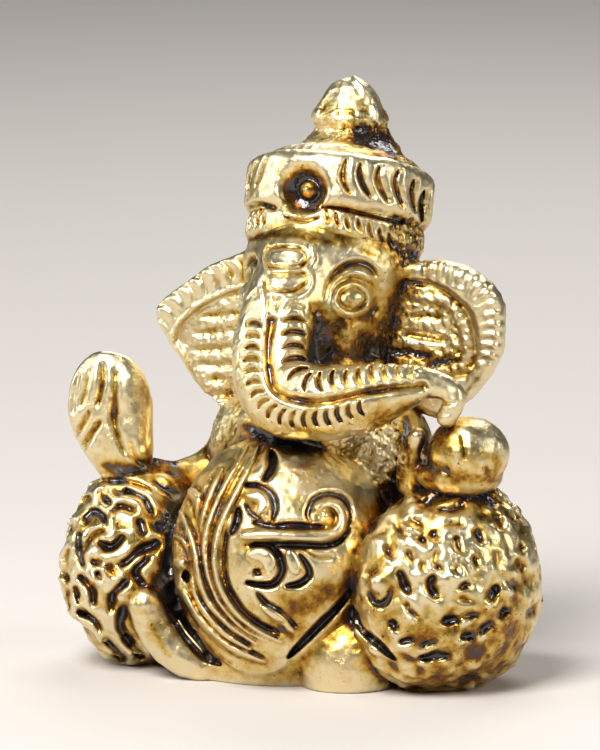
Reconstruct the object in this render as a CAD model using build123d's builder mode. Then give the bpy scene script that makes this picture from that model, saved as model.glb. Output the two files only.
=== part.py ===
"""A small seated Ganesha idol, cast in brass, 50 mm tall.

The figure faces -Y, its left hand is on +X, and +Z is up. The origin is on the flat
underside, below the middle of the figure. Lengths are in millimetres.

The idol is one casting. Its pattern is built up from separate pieces, and each piece is
one node here: body, limbs, head, trunk, ears, crown and ornaments. Each piece is cut back
by the pieces that it is laid on, so that neighbours meet face to face.
"""

import math
import os

from build123d import *

# Driving dimensions -------------------------------------------------------------------

BODY_Y = 3.0  # middle of the torso, behind the origin
TORSO_HALF = (9.6, 8.2, 13.0)
TORSO_Z = 11.2
CHEST_CENTRE = (0.5, -2.4, 21.2)  # the chest fills the gap below the trunk
CHEST_HALF = (5.6, 4.2, 3.6)
BELLY_CENTRE = (-0.1, -4.7, 10.3)
BELLY_HALF = (9.3, 9.4, 10.4)
BELLY_BASE_CENTRE = (-1.0, -4.6, 1.2)  # the belly spreads where it meets the ground
BELLY_BASE_HALF = (8.2, 4.6, 4.4)
HIPS_CENTRE = (0, 2.2, 3.6)
HIPS_HALF = (13.4, 9.8, 7.4)

RIGHT_LEG_CENTRE = (-14.1, -1.9, 8.3)
LEFT_LEG_CENTRE = (14.1, -1.9, 8.3)
LEG_HALF = (7.3, 9.4, 8.9)
SHIN_CENTRE = (11.6, -6.5, 7.8)  # the left shin, which bulges against the belly
SHIN_HALF = (4.3, 5.0, 6.8)
LEFT_FOOT_CENTRE = (6.2, -6.4, 3.3)
LEFT_FOOT_HALF = (5.2, 4.9, 4.0)

HEAD_CENTRE = (0, 3.4, 30.2)
HEAD_HALF = (6.9, 7.3, 8.4)

CROWN_CENTRE = (0, 5.9, 35.5)  # middle of the crown's lower edge
CROWN_TILT = 15  # degrees that the crown leans back
CROWN_RADIUS = 8.25
LOWER_BAND_RADIUS = 7.7
LOWER_BAND_HEIGHT = 2.2
CROWN_HEIGHT = 7.2
DOME_HEIGHT = 3.0
NECK_RADIUS = 2.7
FINIAL_BASE = (0, 9.4, 45.2)

EAR_THICKNESS = 2.0
EAR_Y = 4.6  # middle of the ears' thickness
SWEET_CENTRE = (16.1, -4.0, 19.9)
SWEET_RADIUS = 3.4
SWEET_HALF_HEIGHT = 3.0

RELIEF = 0.7  # how far the sash and scrolls stand off the belly
MARK_RELIEF = 0.35  # how far the forehead mark stands off the root of the trunk
EYE_AZIMUTH = 46  # degrees from straight ahead to each eye
EYE_Z = 32.2

# Each extra section in a limb's round end, in shares of the limb's radius there: how far
# it lies past the end, and how wide it is.
END_ROUNDING = ((0.75, 0.66), (0.97, 0.25))


# Shared forms -------------------------------------------------------------------------


def ellipsoid(centre, half, turn=(0, 0, 0)):
    """A solid ellipsoid with the given half-axes, turned about its own middle.

    The sphere's seam faces back, clear of the pieces that are laid on the sides.
    """
    with BuildPart() as ball:
        Sphere(1, rotation=(0, 0, 90))
        scale(by=half)
    return Location(centre, turn) * ball.part


def limb(stations):
    """A rounded limb through stations of (x, y, z, radius), with round ends.

    The sections turn with the route and not about it, so the surface has no twist.
    """
    points = [Vector(*station[:3]) for station in stations]
    with BuildLine() as route:
        Spline(*points)
    rings = [
        (route.line @ share, route.line % share, station[3])
        for share, station in zip(shares_along(points), stations)
    ]
    first, first_way, first_radius = rings[0]
    last, last_way, last_radius = rings[-1]
    for along, across in END_ROUNDING:
        rings.insert(0, (first - first_way * first_radius * along, first_way, first_radius * across))
        rings.append((last + last_way * last_radius * along, last_way, last_radius * across))
    side = first_way.cross(Vector(0, 0, 1))
    with BuildPart() as made:
        for middle, way, radius in rings:
            side = side - way * side.dot(way)
            with BuildSketch(Plane(origin=middle, x_dir=side, z_dir=way)):
                Circle(radius)
        loft()
    return made.part


def shares_along(points):
    """Each point's share, from 0 to 1, of the way along straight runs between them."""
    runs = [(b - a).length for a, b in zip(points, points[1:])]
    return [sum(runs[:i]) / sum(runs) for i in range(len(points))]


def mirrored(outline):
    """The outline's points with x turned over."""
    return [(-x, z) for x, z in outline]


GROUND = Plane.XY


# Body ---------------------------------------------------------------------------------

with BuildPart() as torso:
    add(ellipsoid((0, BODY_Y, TORSO_Z), TORSO_HALF))
    add(ellipsoid(CHEST_CENTRE, CHEST_HALF))
    split(bisect_by=GROUND)

with BuildPart() as hips:
    add(ellipsoid(HIPS_CENTRE, HIPS_HALF))
    split(bisect_by=GROUND)
    add(torso.part, mode=Mode.SUBTRACT)

with BuildPart() as belly:
    add(ellipsoid(BELLY_CENTRE, BELLY_HALF))
    add(ellipsoid(BELLY_BASE_CENTRE, BELLY_BASE_HALF))
    split(bisect_by=GROUND)
    add(torso.part, mode=Mode.SUBTRACT)
    add(hips.part, mode=Mode.SUBTRACT)


# Legs and feet ------------------------------------------------------------------------


def leg(knee):
    """A folded leg in its pleated cloth, with a flat underside. knee is its whole form."""
    with BuildPart() as made:
        add(knee)
        split(bisect_by=GROUND)
        for inner in (torso, hips, belly):
            add(inner.part, mode=Mode.SUBTRACT)
    return made.part.solids().sort_by(SortBy.VOLUME)[-1]


def foot(form, own_leg):
    """A bare foot that comes out of the cloth and points to the middle."""
    with BuildPart() as made:
        add(form)
        split(bisect_by=GROUND)
        for inner in (own_leg, belly.part, hips.part):
            add(inner, mode=Mode.SUBTRACT)
    return made.part.solids().sort_by(SortBy.VOLUME)[-1]


with BuildPart() as right_leg:
    add(leg(ellipsoid(RIGHT_LEG_CENTRE, LEG_HALF)))

with BuildPart() as left_knee:
    add(ellipsoid(LEFT_LEG_CENTRE, LEG_HALF))
    add(ellipsoid(SHIN_CENTRE, SHIN_HALF))

with BuildPart() as left_leg:
    add(leg(left_knee.part))

RIGHT_FOOT = [
    (-10.6, -10.0, 6.3, 1.7),
    (-9.8, -9.4, 4.3, 1.9),
    (-8.2, -9.0, 2.4, 1.9),
    (-6.2, -8.4, 1.2, 1.6),
]

with BuildPart() as right_foot:
    add(foot(limb(RIGHT_FOOT), right_leg.part))

with BuildPart() as left_foot:
    add(foot(ellipsoid(LEFT_FOOT_CENTRE, LEFT_FOOT_HALF), left_leg.part))


# Head, trunk and ears -----------------------------------------------------------------

CROWN_PLANE = Plane(origin=CROWN_CENTRE).rotated((-CROWN_TILT, 0, 0))

with BuildPart() as head:
    add(ellipsoid(HEAD_CENTRE, HEAD_HALF, turn=(-8, 0, 0)))
    split(bisect_by=CROWN_PLANE, keep=Keep.BOTTOM)
    add(torso.part, mode=Mode.SUBTRACT)

TRUNK = [
    (-0.2, -0.6, 35.2, 2.4),
    (-0.4, -3.6, 32.0, 2.9),
    (-0.7, -5.8, 28.0, 3.2),
    (0.9, -7.6, 24.7, 3.2),
    (4.4, -8.3, 24.0, 3.1),
    (7.8, -8.2, 24.5, 2.8),
    (10.9, -7.3, 25.3, 2.1),
    (13.4, -6.3, 25.8, 1.4),
    (15.4, -5.9, 24.7, 1.1),
]

with BuildPart() as trunk:
    add(limb(TRUNK))
    for inner in (head, belly, torso):
        add(inner.part, mode=Mode.SUBTRACT)
trunk_solid = trunk.part.solids().sort_by(SortBy.VOLUME)[-1]

with BuildPart() as sweet:
    add(ellipsoid(SWEET_CENTRE, (SWEET_RADIUS, SWEET_RADIUS, SWEET_HALF_HEIGHT)))
    add(trunk_solid, mode=Mode.SUBTRACT)

# Ear outlines, from the root at the crown round the free edge to the root below.
LEFT_EAR = [(9.6, 35.3), (13.2, 34.6), (15.6, 32.2), (16.3, 28.8), (15.4, 25.3), (13.0, 23.1)]
LEFT_EAR_ROOT = [(9.5, 22.6), (4.0, 27.0), (4.0, 35.0), (6.6, 34.9)]
RIGHT_EAR = [(11.6, 33.0), (16.0, 29.5), (14.3, 26.3), (12.2, 23.6), (10.4, 20.6)]
RIGHT_EAR_ROOT = [(9.4, 18.6), (4.0, 24.0), (4.0, 35.0), (7.2, 35.1)]


def ear(edge, root, swing):
    """A fan-shaped ear, swung back a little from the side of the head."""
    with BuildPart() as made:
        with BuildSketch(Plane.XZ.offset(-EAR_Y)):
            with BuildLine():
                Spline(*edge, *root, periodic=True)
            make_face()
        extrude(amount=EAR_THICKNESS / 2, both=True)
        chamfer(made.edges(), length=EAR_THICKNESS * 0.25)
    turned = made.part.rotate(Axis((0, EAR_Y, 0), (0, 0, 1)), swing)
    with BuildPart() as trimmed:
        add(turned)
        for inner in (head, torso, trunk):
            add(inner.part, mode=Mode.SUBTRACT)
        split(bisect_by=CROWN_PLANE, keep=Keep.BOTTOM)
    return trimmed.part.solids().sort_by(SortBy.VOLUME)[-1]


with BuildPart() as left_ear:
    add(ear(LEFT_EAR, LEFT_EAR_ROOT, swing=4))

with BuildPart() as right_ear:
    add(ear(mirrored(RIGHT_EAR), mirrored(RIGHT_EAR_ROOT), swing=-4))


# Arms and hands -----------------------------------------------------------------------

RIGHT_ARM = [
    (-6.6, 2.8, 19.0, 2.6),
    (-9.2, 2.4, 16.2, 2.4),
    (-11.8, 0.2, 14.9, 2.3),
    (-13.8, -2.8, 15.6, 2.1),
]
LEFT_ARM = [(-x, y, z, radius) for x, y, z, radius in RIGHT_ARM]


def arm(stations, own_leg, own_ear):
    """An arm that lies along the body, from the shoulder to the wrist on the knee."""
    with BuildPart() as made:
        add(limb(stations))
        for inner in (torso.part, belly.part, own_leg, own_ear, sweet.part):
            add(inner, mode=Mode.SUBTRACT)
    return made.part.solids().sort_by(SortBy.VOLUME)[-1]


with BuildPart() as right_arm:
    add(arm(RIGHT_ARM, right_leg.part, right_ear.part))

with BuildPart() as left_arm:
    add(arm(LEFT_ARM, left_leg.part, left_ear.part))

# The raised palm: height along the hand, half-width and half-thickness at each station.
PALM = [(0, 2.3, 1.7), (2.6, 3.4, 1.8), (5.4, 3.8, 1.7), (8.0, 3.2, 1.5), (10.0, 1.5, 1.0)]
PALM_PLANE = Plane(origin=(-14.9, -4.3, 16.7)).rotated((0, -14, 0))

with BuildPart() as right_hand:
    for height, half_width, half_thickness in PALM:
        with BuildSketch(PALM_PLANE.offset(height)):
            Ellipse(half_width, half_thickness)
    loft()
    for inner in (right_arm, right_leg):
        add(inner.part, mode=Mode.SUBTRACT)

with BuildPart() as left_hand:
    add(ellipsoid((15.0, -3.4, 18.0), (3.9, 3.9, 2.1)))
    add(limb([(11.4, -3.9, 18.0, 1.2), (11.7, -4.8, 20.0, 1.1), (13.0, -5.4, 22.2, 0.9)]))
    for inner in (sweet.part, trunk_solid, left_leg.part, left_arm.part):
        add(inner, mode=Mode.SUBTRACT)
left_hand_solid = left_hand.part.solids().sort_by(SortBy.VOLUME)[-1]


# Crown --------------------------------------------------------------------------------


def turned_ring(profile):
    """A solid of revolution about the crown's axis, from (radius, height) points."""
    with BuildPart() as made:
        with BuildSketch(Plane.XZ):
            with BuildLine():
                Polyline((0, profile[0][1]), *profile, (0, profile[-1][1]), close=True)
            make_face()
        revolve(axis=Axis.Z)
    return made.part


with BuildPart() as lower_band:
    add(
        turned_ring(
            [
                (LOWER_BAND_RADIUS - 0.5, 0),
                (LOWER_BAND_RADIUS, 0.5),
                (LOWER_BAND_RADIUS, LOWER_BAND_HEIGHT - 0.4),
                (LOWER_BAND_RADIUS - 0.4, LOWER_BAND_HEIGHT),
            ]
        )
    )

with BuildPart() as trimmed_band:
    add(CROWN_PLANE.location * lower_band.part)
    add(trunk_solid, mode=Mode.SUBTRACT)
crown_lower_band = trimmed_band.part

with BuildPart() as upper_band:
    add(
        turned_ring(
            [
                (CROWN_RADIUS - 0.9, LOWER_BAND_HEIGHT),
                (CROWN_RADIUS, LOWER_BAND_HEIGHT + 0.9),
                (CROWN_RADIUS, CROWN_HEIGHT - 1.4),
                (CROWN_RADIUS - 1.2, CROWN_HEIGHT),
            ]
        )
    )
    with Locations((0, -CROWN_RADIUS - 0.4, (LOWER_BAND_HEIGHT + CROWN_HEIGHT) / 2)):
        Cylinder(radius=1.9, height=3, rotation=(90, 0, 0), mode=Mode.SUBTRACT)
crown_upper_band = CROWN_PLANE.location * upper_band.part

with BuildPart() as jewel:
    with Locations((0, -CROWN_RADIUS + 0.35, (LOWER_BAND_HEIGHT + CROWN_HEIGHT) / 2)):
        Cylinder(radius=1.9, height=1.5, rotation=(90, 0, 0))
        Cylinder(radius=1.4, height=1.5, rotation=(90, 0, 0), mode=Mode.SUBTRACT)
        Sphere(radius=1.0)
    add(upper_band.part, mode=Mode.SUBTRACT)
crown_jewel = CROWN_PLANE.location * jewel.part

with BuildPart() as dome:
    add(
        turned_ring(
            [
                (CROWN_RADIUS - 1.5, CROWN_HEIGHT),
                (CROWN_RADIUS - 2.6, CROWN_HEIGHT + 1.2),
                (NECK_RADIUS + 0.6, CROWN_HEIGHT + 2.2),
                (NECK_RADIUS, CROWN_HEIGHT + DOME_HEIGHT),
            ]
        )
    )
crown_dome = CROWN_PLANE.location * dome.part

# The finial is a pointed bud: height and half-width at each station.
BUD = [(0.0, 2.5), (0.9, 3.4), (2.0, 2.9), (3.4, 1.8), (4.8, 0.5)]

with BuildPart() as finial:
    for height, half_width in BUD:
        with BuildSketch(Plane(origin=FINIAL_BASE).offset(height)):
            RectangleRounded(2 * half_width, 2 * half_width, half_width * 0.7, rotation=40)
    loft()
    add(crown_dome, mode=Mode.SUBTRACT)


# Face ---------------------------------------------------------------------------------


def eye(side):
    """An eyeball that stands out of the head. side is 1 for the figure's left."""
    turn = math.radians(EYE_AZIMUTH)
    x = side * (HEAD_HALF[0] - 0.5) * math.sin(turn)
    y = HEAD_CENTRE[1] - (HEAD_HALF[1] - 0.5) * math.cos(turn)
    with BuildPart() as made:
        add(ellipsoid((x, y, EYE_Z), (1.9, 1.0, 1.6), turn=(0, 0, side * EYE_AZIMUTH)))
        add(head.part, mode=Mode.SUBTRACT)
        add(trunk_solid, mode=Mode.SUBTRACT)
    return made.part.solids().sort_by(SortBy.VOLUME)[-1]


with BuildPart() as left_eye:
    add(eye(1))

with BuildPart() as right_eye:
    add(eye(-1))

with BuildPart() as forehead_mark:
    with BuildSketch(Plane.XZ.offset(8)):
        with Locations((0.5, 34.6), (0.5, 32.5)):
            SlotOverall(4.0, 1.6)
        with Locations((0.3, 30.7)):
            RectangleRounded(1.8, 1.4, 0.4)
    extrude(amount=-8)
    add(limb([(x, y, z, radius + MARK_RELIEF) for x, y, z, radius in TRUNK]), mode=Mode.INTERSECT)
    for inner in (trunk_solid, head.part, crown_lower_band):
        add(inner, mode=Mode.SUBTRACT)


# Ornaments on the belly ---------------------------------------------------------------


def on_belly(outline):
    """A flat outline, in x and z, laid on the front of the belly as raised relief."""
    with BuildPart() as made:
        with BuildSketch(Plane.XZ.offset(16)):
            add(outline)
        extrude(amount=-12)
        raised = tuple(half + RELIEF for half in BELLY_HALF)
        add(ellipsoid(BELLY_CENTRE, raised), mode=Mode.INTERSECT)
        for inner in (belly.part, trunk_solid, right_foot.part, left_foot.part):
            add(inner, mode=Mode.SUBTRACT)
        for inner in (right_leg.part, left_leg.part, hips.part, torso.part, right_arm.part):
            add(inner, mode=Mode.SUBTRACT)
        split(bisect_by=GROUND)
    return made.part


def fold(points, width):
    """The outline of one cloth fold or scroll stroke along a curve."""
    with BuildSketch() as made:
        with BuildLine():
            Spline(*points)
        trace(line_width=width)
    return made.sketch


SASH = [
    [(-2.4, 19.6), (-4.6, 14.8), (-5.0, 9.2), (-2.6, 5.0), (1.8, 2.9)],
    [(-3.8, 19.2), (-6.0, 14.4), (-6.4, 8.8), (-4.0, 4.2), (0.2, 1.9)],
    [(-5.4, 18.2), (-7.4, 13.6), (-7.7, 8.4), (-5.4, 3.8)],
]
FOLD_WIDTH = 1.25

with BuildPart() as sash:
    for points in SASH:
        add(on_belly(fold(points, FOLD_WIDTH)))

SCROLLS = [
    [(0.6, 14.2), (3.2, 13.2), (6.2, 13.6), (7.0, 15.3), (5.8, 16.0)],
    [(0.2, 17.4), (1.6, 17.6), (2.4, 16.4), (1.6, 15.2)],
    [(0.4, 11.6), (2.0, 12.0), (3.0, 10.6), (2.0, 9.4), (0.9, 10.0)],
    [(3.6, 12.2), (4.6, 10.8), (4.0, 9.6)],
]
SCROLL_WIDTH = 0.9

with BuildPart() as belly_scrolls:
    for points in SCROLLS:
        add(on_belly(fold(points, SCROLL_WIDTH)))
    add(sash.part, mode=Mode.SUBTRACT)


# Hand over ----------------------------------------------------------------------------

os.makedirs("parts", exist_ok=True)

PIECES = {
    "torso": torso.part,
    "hips": hips.part,
    "belly": belly.part,
    "right_leg": right_leg.part,
    "left_leg": left_leg.part,
    "right_foot": right_foot.part,
    "left_foot": left_foot.part,
    "head": head.part,
    "trunk": trunk_solid,
    "right_ear": right_ear.part,
    "left_ear": left_ear.part,
    "right_eye": right_eye.part,
    "left_eye": left_eye.part,
    "forehead_mark": forehead_mark.part,
    "right_arm": right_arm.part,
    "left_arm": left_arm.part,
    "right_hand": right_hand.part,
    "left_hand": left_hand_solid,
    "sweet_ball": sweet.part,
    "crown_lower_band": crown_lower_band,
    "crown_upper_band": crown_upper_band,
    "crown_jewel": crown_jewel,
    "crown_dome": crown_dome,
    "crown_finial": finial.part,
    "sash": sash.part,
    "belly_scrolls": belly_scrolls.part,
}

for name, piece in PIECES.items():
    piece.label = name
    export_step(piece, f"parts/{name}.step")
    print(name, len(piece.solids()), round(piece.volume, 1))
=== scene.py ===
"""The look of a small seated Ganesha idol in antiqued cast brass.

The idol is worked like clay. Each CAD node is one clay: a field of distances to its own
surface on a shared grid, negative inside, in millimetres. Masses are joined with soft
seams, and relief is raised or engraved along strokes. The clays are then blended into one
casting and parted again along their seams, so that every node has a closed mesh of its own.
"""
import math

import bpy
import numpy as np
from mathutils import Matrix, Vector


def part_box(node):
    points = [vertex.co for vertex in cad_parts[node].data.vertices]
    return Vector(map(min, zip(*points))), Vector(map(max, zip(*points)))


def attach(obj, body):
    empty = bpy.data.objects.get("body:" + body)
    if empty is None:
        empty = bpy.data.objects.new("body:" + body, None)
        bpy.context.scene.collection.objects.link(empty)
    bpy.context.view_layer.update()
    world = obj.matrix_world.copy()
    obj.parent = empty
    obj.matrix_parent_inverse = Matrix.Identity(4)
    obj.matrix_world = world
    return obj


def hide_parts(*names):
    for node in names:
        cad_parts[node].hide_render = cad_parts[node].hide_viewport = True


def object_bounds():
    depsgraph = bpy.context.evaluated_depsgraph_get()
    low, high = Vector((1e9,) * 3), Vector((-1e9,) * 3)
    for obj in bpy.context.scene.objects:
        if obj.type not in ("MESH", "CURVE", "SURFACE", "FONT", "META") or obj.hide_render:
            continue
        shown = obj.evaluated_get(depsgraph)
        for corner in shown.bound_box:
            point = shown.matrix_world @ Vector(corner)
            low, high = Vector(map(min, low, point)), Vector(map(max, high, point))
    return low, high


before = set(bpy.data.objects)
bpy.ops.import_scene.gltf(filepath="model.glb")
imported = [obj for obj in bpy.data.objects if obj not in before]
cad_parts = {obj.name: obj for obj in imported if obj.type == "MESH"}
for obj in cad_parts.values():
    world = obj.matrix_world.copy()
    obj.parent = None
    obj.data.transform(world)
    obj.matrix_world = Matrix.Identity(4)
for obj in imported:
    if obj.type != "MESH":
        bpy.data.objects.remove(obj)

import openvdb
from mathutils import Euler, Vector

cad_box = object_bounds()

MM = 0.001
VOXEL = 0.13
ROOM = 2.4  # how far each clay's grid reaches past its CAD node
FAR = 4.0  # the distance that stands for "nowhere near"
SEAM = 0.45  # how softly neighbouring clays blend into one casting
UNDERLAP = 0.45  # how far each piece runs on under its neighbour
SINK = 0.5  # how fast a piece sinks below the casting's skin under its neighbour
SHEET_ROOT = 1.0  # how far the sheets reach into the clay below them
SHEET_BACK = 3.0  # sheets lie in front of this y
RNG = np.random.default_rng(7)

# The drawing plane stands through the middle of the figure and faces the viewer. Relief
# is drawn on it, in millimetres to the right of the middle and above the ground, and
# carried on to the figure along the lines of sight.
AZIMUTH = math.radians(23)
ELEVATION = math.radians(7)
DISTANCE = 350.0
TARGET = np.array((0.17, -2.0, 25.4))
TARGET_HEIGHT = 25.2  # the target's height on the drawing plane
RIGHTWARD = np.array((math.cos(AZIMUTH), math.sin(AZIMUTH), 0))
TO_VIEWER = np.array(
    (
        math.sin(AZIMUTH) * math.cos(ELEVATION),
        -math.cos(AZIMUTH) * math.cos(ELEVATION),
        math.sin(ELEVATION),
    )
)
UPWARD = np.cross(TO_VIEWER, RIGHTWARD)
VIEWER = TARGET + TO_VIEWER * DISTANCE
SIGHT_REACH = 26  # lines of sight are searched this far before and behind the plane

GRID_LOW = np.floor((np.array(cad_box[0]) / MM - ROOM) / VOXEL) * VOXEL
GRID_HIGH = np.array(cad_box[1]) / MM + ROOM
GRID_SHAPE = np.ceil((GRID_HIGH - GRID_LOW) / VOXEL).astype(int) + 1


# Fields -------------------------------------------------------------------------------


def smaller(a, b, soft=0.0):
    """The smaller of two fields, rounded off over a width of soft where they cross."""
    if soft == 0:
        return np.minimum(a, b)
    share = np.clip(0.5 + 0.5 * (b - a) / soft, 0, 1)
    return b + (a - b) * share - soft * share * (1 - share)


def larger(a, b, soft=0.0):
    """The larger of two fields, rounded off over a width of soft where they cross."""
    return -smaller(-a, -b, soft)


def smooth(share):
    """A share from 0 to 1, eased at both ends."""
    share = np.clip(share, 0, 1)
    return share * share * (3 - 2 * share)


def sample(field, low, points):
    """The field's values at points, between grid places in a straight line."""
    place = (np.asarray(points) - low) / VOXEL
    inside = np.all((place >= 0) & (place <= np.array(field.shape) - 1.001), axis=-1)
    place = np.clip(place, 0, np.array(field.shape) - 1.001)
    corner = place.astype(int)
    share = (place - corner).astype(np.float32)
    total = np.zeros(place.shape[:-1], np.float32)
    for i in (0, 1):
        for j in (0, 1):
            for k in (0, 1):
                weight = np.ones_like(total)
                for axis, step in enumerate((i, j, k)):
                    weight *= share[..., axis] if step else 1 - share[..., axis]
                total += weight * field[corner[..., 0] + i, corner[..., 1] + j, corner[..., 2] + k]
    return np.where(inside, total, FAR)


def blurred(field, width):
    """The field averaged over about width to each side."""
    return boxed(field, box_half(width))


def boxed(field, half):
    """The values averaged three times over a box that reaches half places to each side."""
    for axis in range(field.ndim):
        for _ in range(3):
            padded = np.concatenate(
                (
                    np.repeat(np.take(field, [0], axis), half + 1, axis),
                    field,
                    np.repeat(np.take(field, [-1], axis), half, axis),
                ),
                axis,
            )
            total = np.cumsum(padded, axis, dtype=np.float64 if half > 3 else np.float32)
            size = 2 * half + 1
            upper = np.take(total, range(size, total.shape[axis]), axis)
            lower = np.take(total, range(0, total.shape[axis] - size), axis)
            field = ((upper - lower) / size).astype(np.float32)
    return field


def box_half(width):
    """How many places to each side a box reaches, so that three passes spread by width."""
    return max(1, round((math.sqrt(4 * (width / VOXEL) ** 2 + 1) - 1) / 2))


def hollow_at(width):
    """How raised each place is against its surroundings over a width, below 0 where it is
    sunk."""
    half = box_half(width)
    real = VOXEL * math.sqrt(half * (half + 1))
    return (blurred(casting, width) - casting) * (width / real) ** 2


def lumps(shape, size):
    """Smooth random values from about -1 to 1, with bumps about size across."""
    coarse = RNG.standard_normal([int(n * VOXEL / size * 2) + 3 for n in shape]).astype(np.float32)
    for axis, n in enumerate(shape):
        place = np.arange(n) * VOXEL / size * 2
        index = place.astype(int)
        share = smooth(place - index).astype(np.float32)
        share = share.reshape([-1 if a == axis else 1 for a in range(3)])
        coarse = np.take(coarse, index, axis) * (1 - share) + np.take(coarse, index + 1, axis) * share
    return coarse


def curve(stations, spacing=0.35):
    """Close-set stations on a smooth curve through the given ones, in every column."""
    stations = np.asarray(stations, float)
    ends = np.vstack((2 * stations[0] - stations[1], stations, 2 * stations[-1] - stations[-2]))
    made = []
    for a, b, c, d in zip(ends, ends[1:], ends[2:], ends[3:]):
        count = max(2, int(np.linalg.norm((c - b)[:3]) / spacing))
        for t in np.arange(count) / count:
            made.append(
                0.5
                * (2 * b + (c - a) * t + (2 * a - 5 * b + 4 * c - d) * t**2 + (3 * b - a - 3 * c + d) * t**3)
            )
    made.append(stations[-1])
    return np.array(made)


def drawn_place(x, y, z):
    """Where on the drawing plane the viewer sees a place."""
    x, y, z = x - TARGET[0], y - TARGET[1], z - TARGET[2]
    nearer = x * TO_VIEWER[0] + y * TO_VIEWER[1] + z * TO_VIEWER[2]
    scale = DISTANCE / (DISTANCE - nearer)
    u = (x * RIGHTWARD[0] + y * RIGHTWARD[1]) * scale
    v = (x * UPWARD[0] + y * UPWARD[1] + z * UPWARD[2]) * scale + TARGET_HEIGHT
    return u, v


def gap_to_outline(outline, a, b):
    """How far places (a, b) are from a smooth closed outline, negative inside it."""
    outline = curve(list(outline) + [outline[0]], 0.6)
    gap = np.full(np.broadcast(a, b).shape, 1e9)
    inside = np.zeros(gap.shape, bool)
    for (pa, pb), (qa, qb) in zip(outline, outline[1:]):
        wa, wb = qa - pa, qb - pb
        share = np.clip(((a - pa) * wa + (b - pb) * wb) / max(wa * wa + wb * wb, 1e-9), 0, 1)
        gap = np.minimum(gap, (a - pa - share * wa) ** 2 + (b - pb - share * wb) ** 2)
        if pb != qb:
            inside ^= ((pb > b) != (qb > b)) & (a < pa + wa * (b - pb) / wb)
    return np.where(inside, -np.sqrt(gap), np.sqrt(gap)).astype(np.float32)


class Drawing:
    """Values drawn on the drawing plane: heights of relief, shares of patina with painted light and shade, or
    distances to an outline."""

    LOW = np.array((-23.0, -2.0))
    STEP = 0.06
    SHAPE = (767, 917)

    def __init__(self, value=0.0):
        self.values = np.full(self.SHAPE, value, np.float32)

    def window(self, low, high):
        """The slices of the drawing in a box, and the places along both axes there."""
        start = np.maximum(np.floor((low - self.LOW) / self.STEP).astype(int), 0)
        stop = np.minimum(np.ceil((high - self.LOW) / self.STEP).astype(int) + 1, self.SHAPE)
        u, v = (self.LOW[i] + self.STEP * np.arange(start[i], stop[i]) for i in (0, 1))
        return tuple(slice(a, b) for a, b in zip(start, stop)), u[:, None], v[None, :]

    def blend(self, slices, level, weight):
        """Brings the drawing to a level where the weight is 1, and part of the way elsewhere."""
        self.values[slices] += (level - self.values[slices]) * weight

    def stroke(self, drawn, radius, level, flat=0.2, taper=True):
        """A stroke. flat is the share of its width that has the whole level."""
        line = curve(drawn, 0.3)
        radii = (tapered if taper else even)(line, radius)[:, -1]
        slices, u, v = self.window(line.min(0) - radius, line.max(0) + radius)
        nearest = np.full((u.size, v.size), 2.0)
        for a, b, ra, rb in zip(line, line[1:], radii, radii[1:]):
            way = b - a
            share = ((u - a[0]) * way[0] + (v - a[1]) * way[1]) / max((way**2).sum(), 1e-9)
            share = np.clip(share, 0, 1)
            gap = np.hypot(u - a[0] - share * way[0], v - a[1] - share * way[1])
            nearest = np.minimum(nearest, gap / (ra + share * (rb - ra)))
        self.blend(slices, level, smooth((1 - nearest) / (1 - flat)))

    def strokes(self, *rows):
        """Several strokes, each given by its points, radius and level."""
        for drawn, radius, level in rows:
            self.stroke(drawn, radius, level)

    def patch(self, outline, level, edge=0.3):
        """An area with a smooth outline, and an edge that fades over a width."""
        points = np.array(outline)
        slices, u, v = self.window(points.min(0) - edge - 1, points.max(0) + edge + 1)
        self.blend(slices, level, smooth(0.5 - gap_to_outline(outline, u, v) / edge))

    def row(self, guide, count, length, radius, level, bow=0.3):
        """Short bowed strokes across a guide line, evenly spaced along it."""
        line = curve(guide, 0.1)
        steps = np.linalg.norm(np.diff(line, axis=0), axis=1)
        along = np.concatenate(([0], np.cumsum(steps)))

        def on_line(place):
            place = np.clip(place, 0, along[-1])
            return np.array([np.interp(place, along, line[:, i]) for i in (0, 1)])

        for place in np.linspace(0, along[-1], count):
            way = on_line(place + 0.4) - on_line(place - 0.4)
            way /= np.linalg.norm(way)
            across = np.array((-way[1], way[0]))
            long = length * RNG.uniform(0.85, 1.12) / 2
            shares = (-1, -0.4, 0.4, 1)
            tick = [on_line(place) + across * s * long + way * bow * (s * s - 0.4) for s in shares]
            self.stroke(tick, radius * RNG.uniform(0.85, 1.15), level * RNG.uniform(0.8, 1.2))

    def soften(self, width):
        """Rounds the drawing's edges off over a width."""
        self.values = boxed(self.values, max(1, round(width / self.STEP)))

    def seen(self, x, y, z):
        """The drawing's values where the viewer sees these places."""
        place = [(p - low) / self.STEP for p, low in zip(drawn_place(x, y, z), self.LOW)]
        place = [np.clip(p, 0, size - 1.001) for p, size in zip(place, self.SHAPE)]
        i, j = (p.astype(int) for p in place)
        s, t = (p - corner for p, corner in zip(place, (i, j)))
        v = self.values
        value = (v[i, j] * (1 - s) + v[i + 1, j] * s) * (1 - t)
        value += (v[i, j + 1] * (1 - s) + v[i + 1, j + 1] * s) * t
        return value.astype(np.float32)


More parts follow.
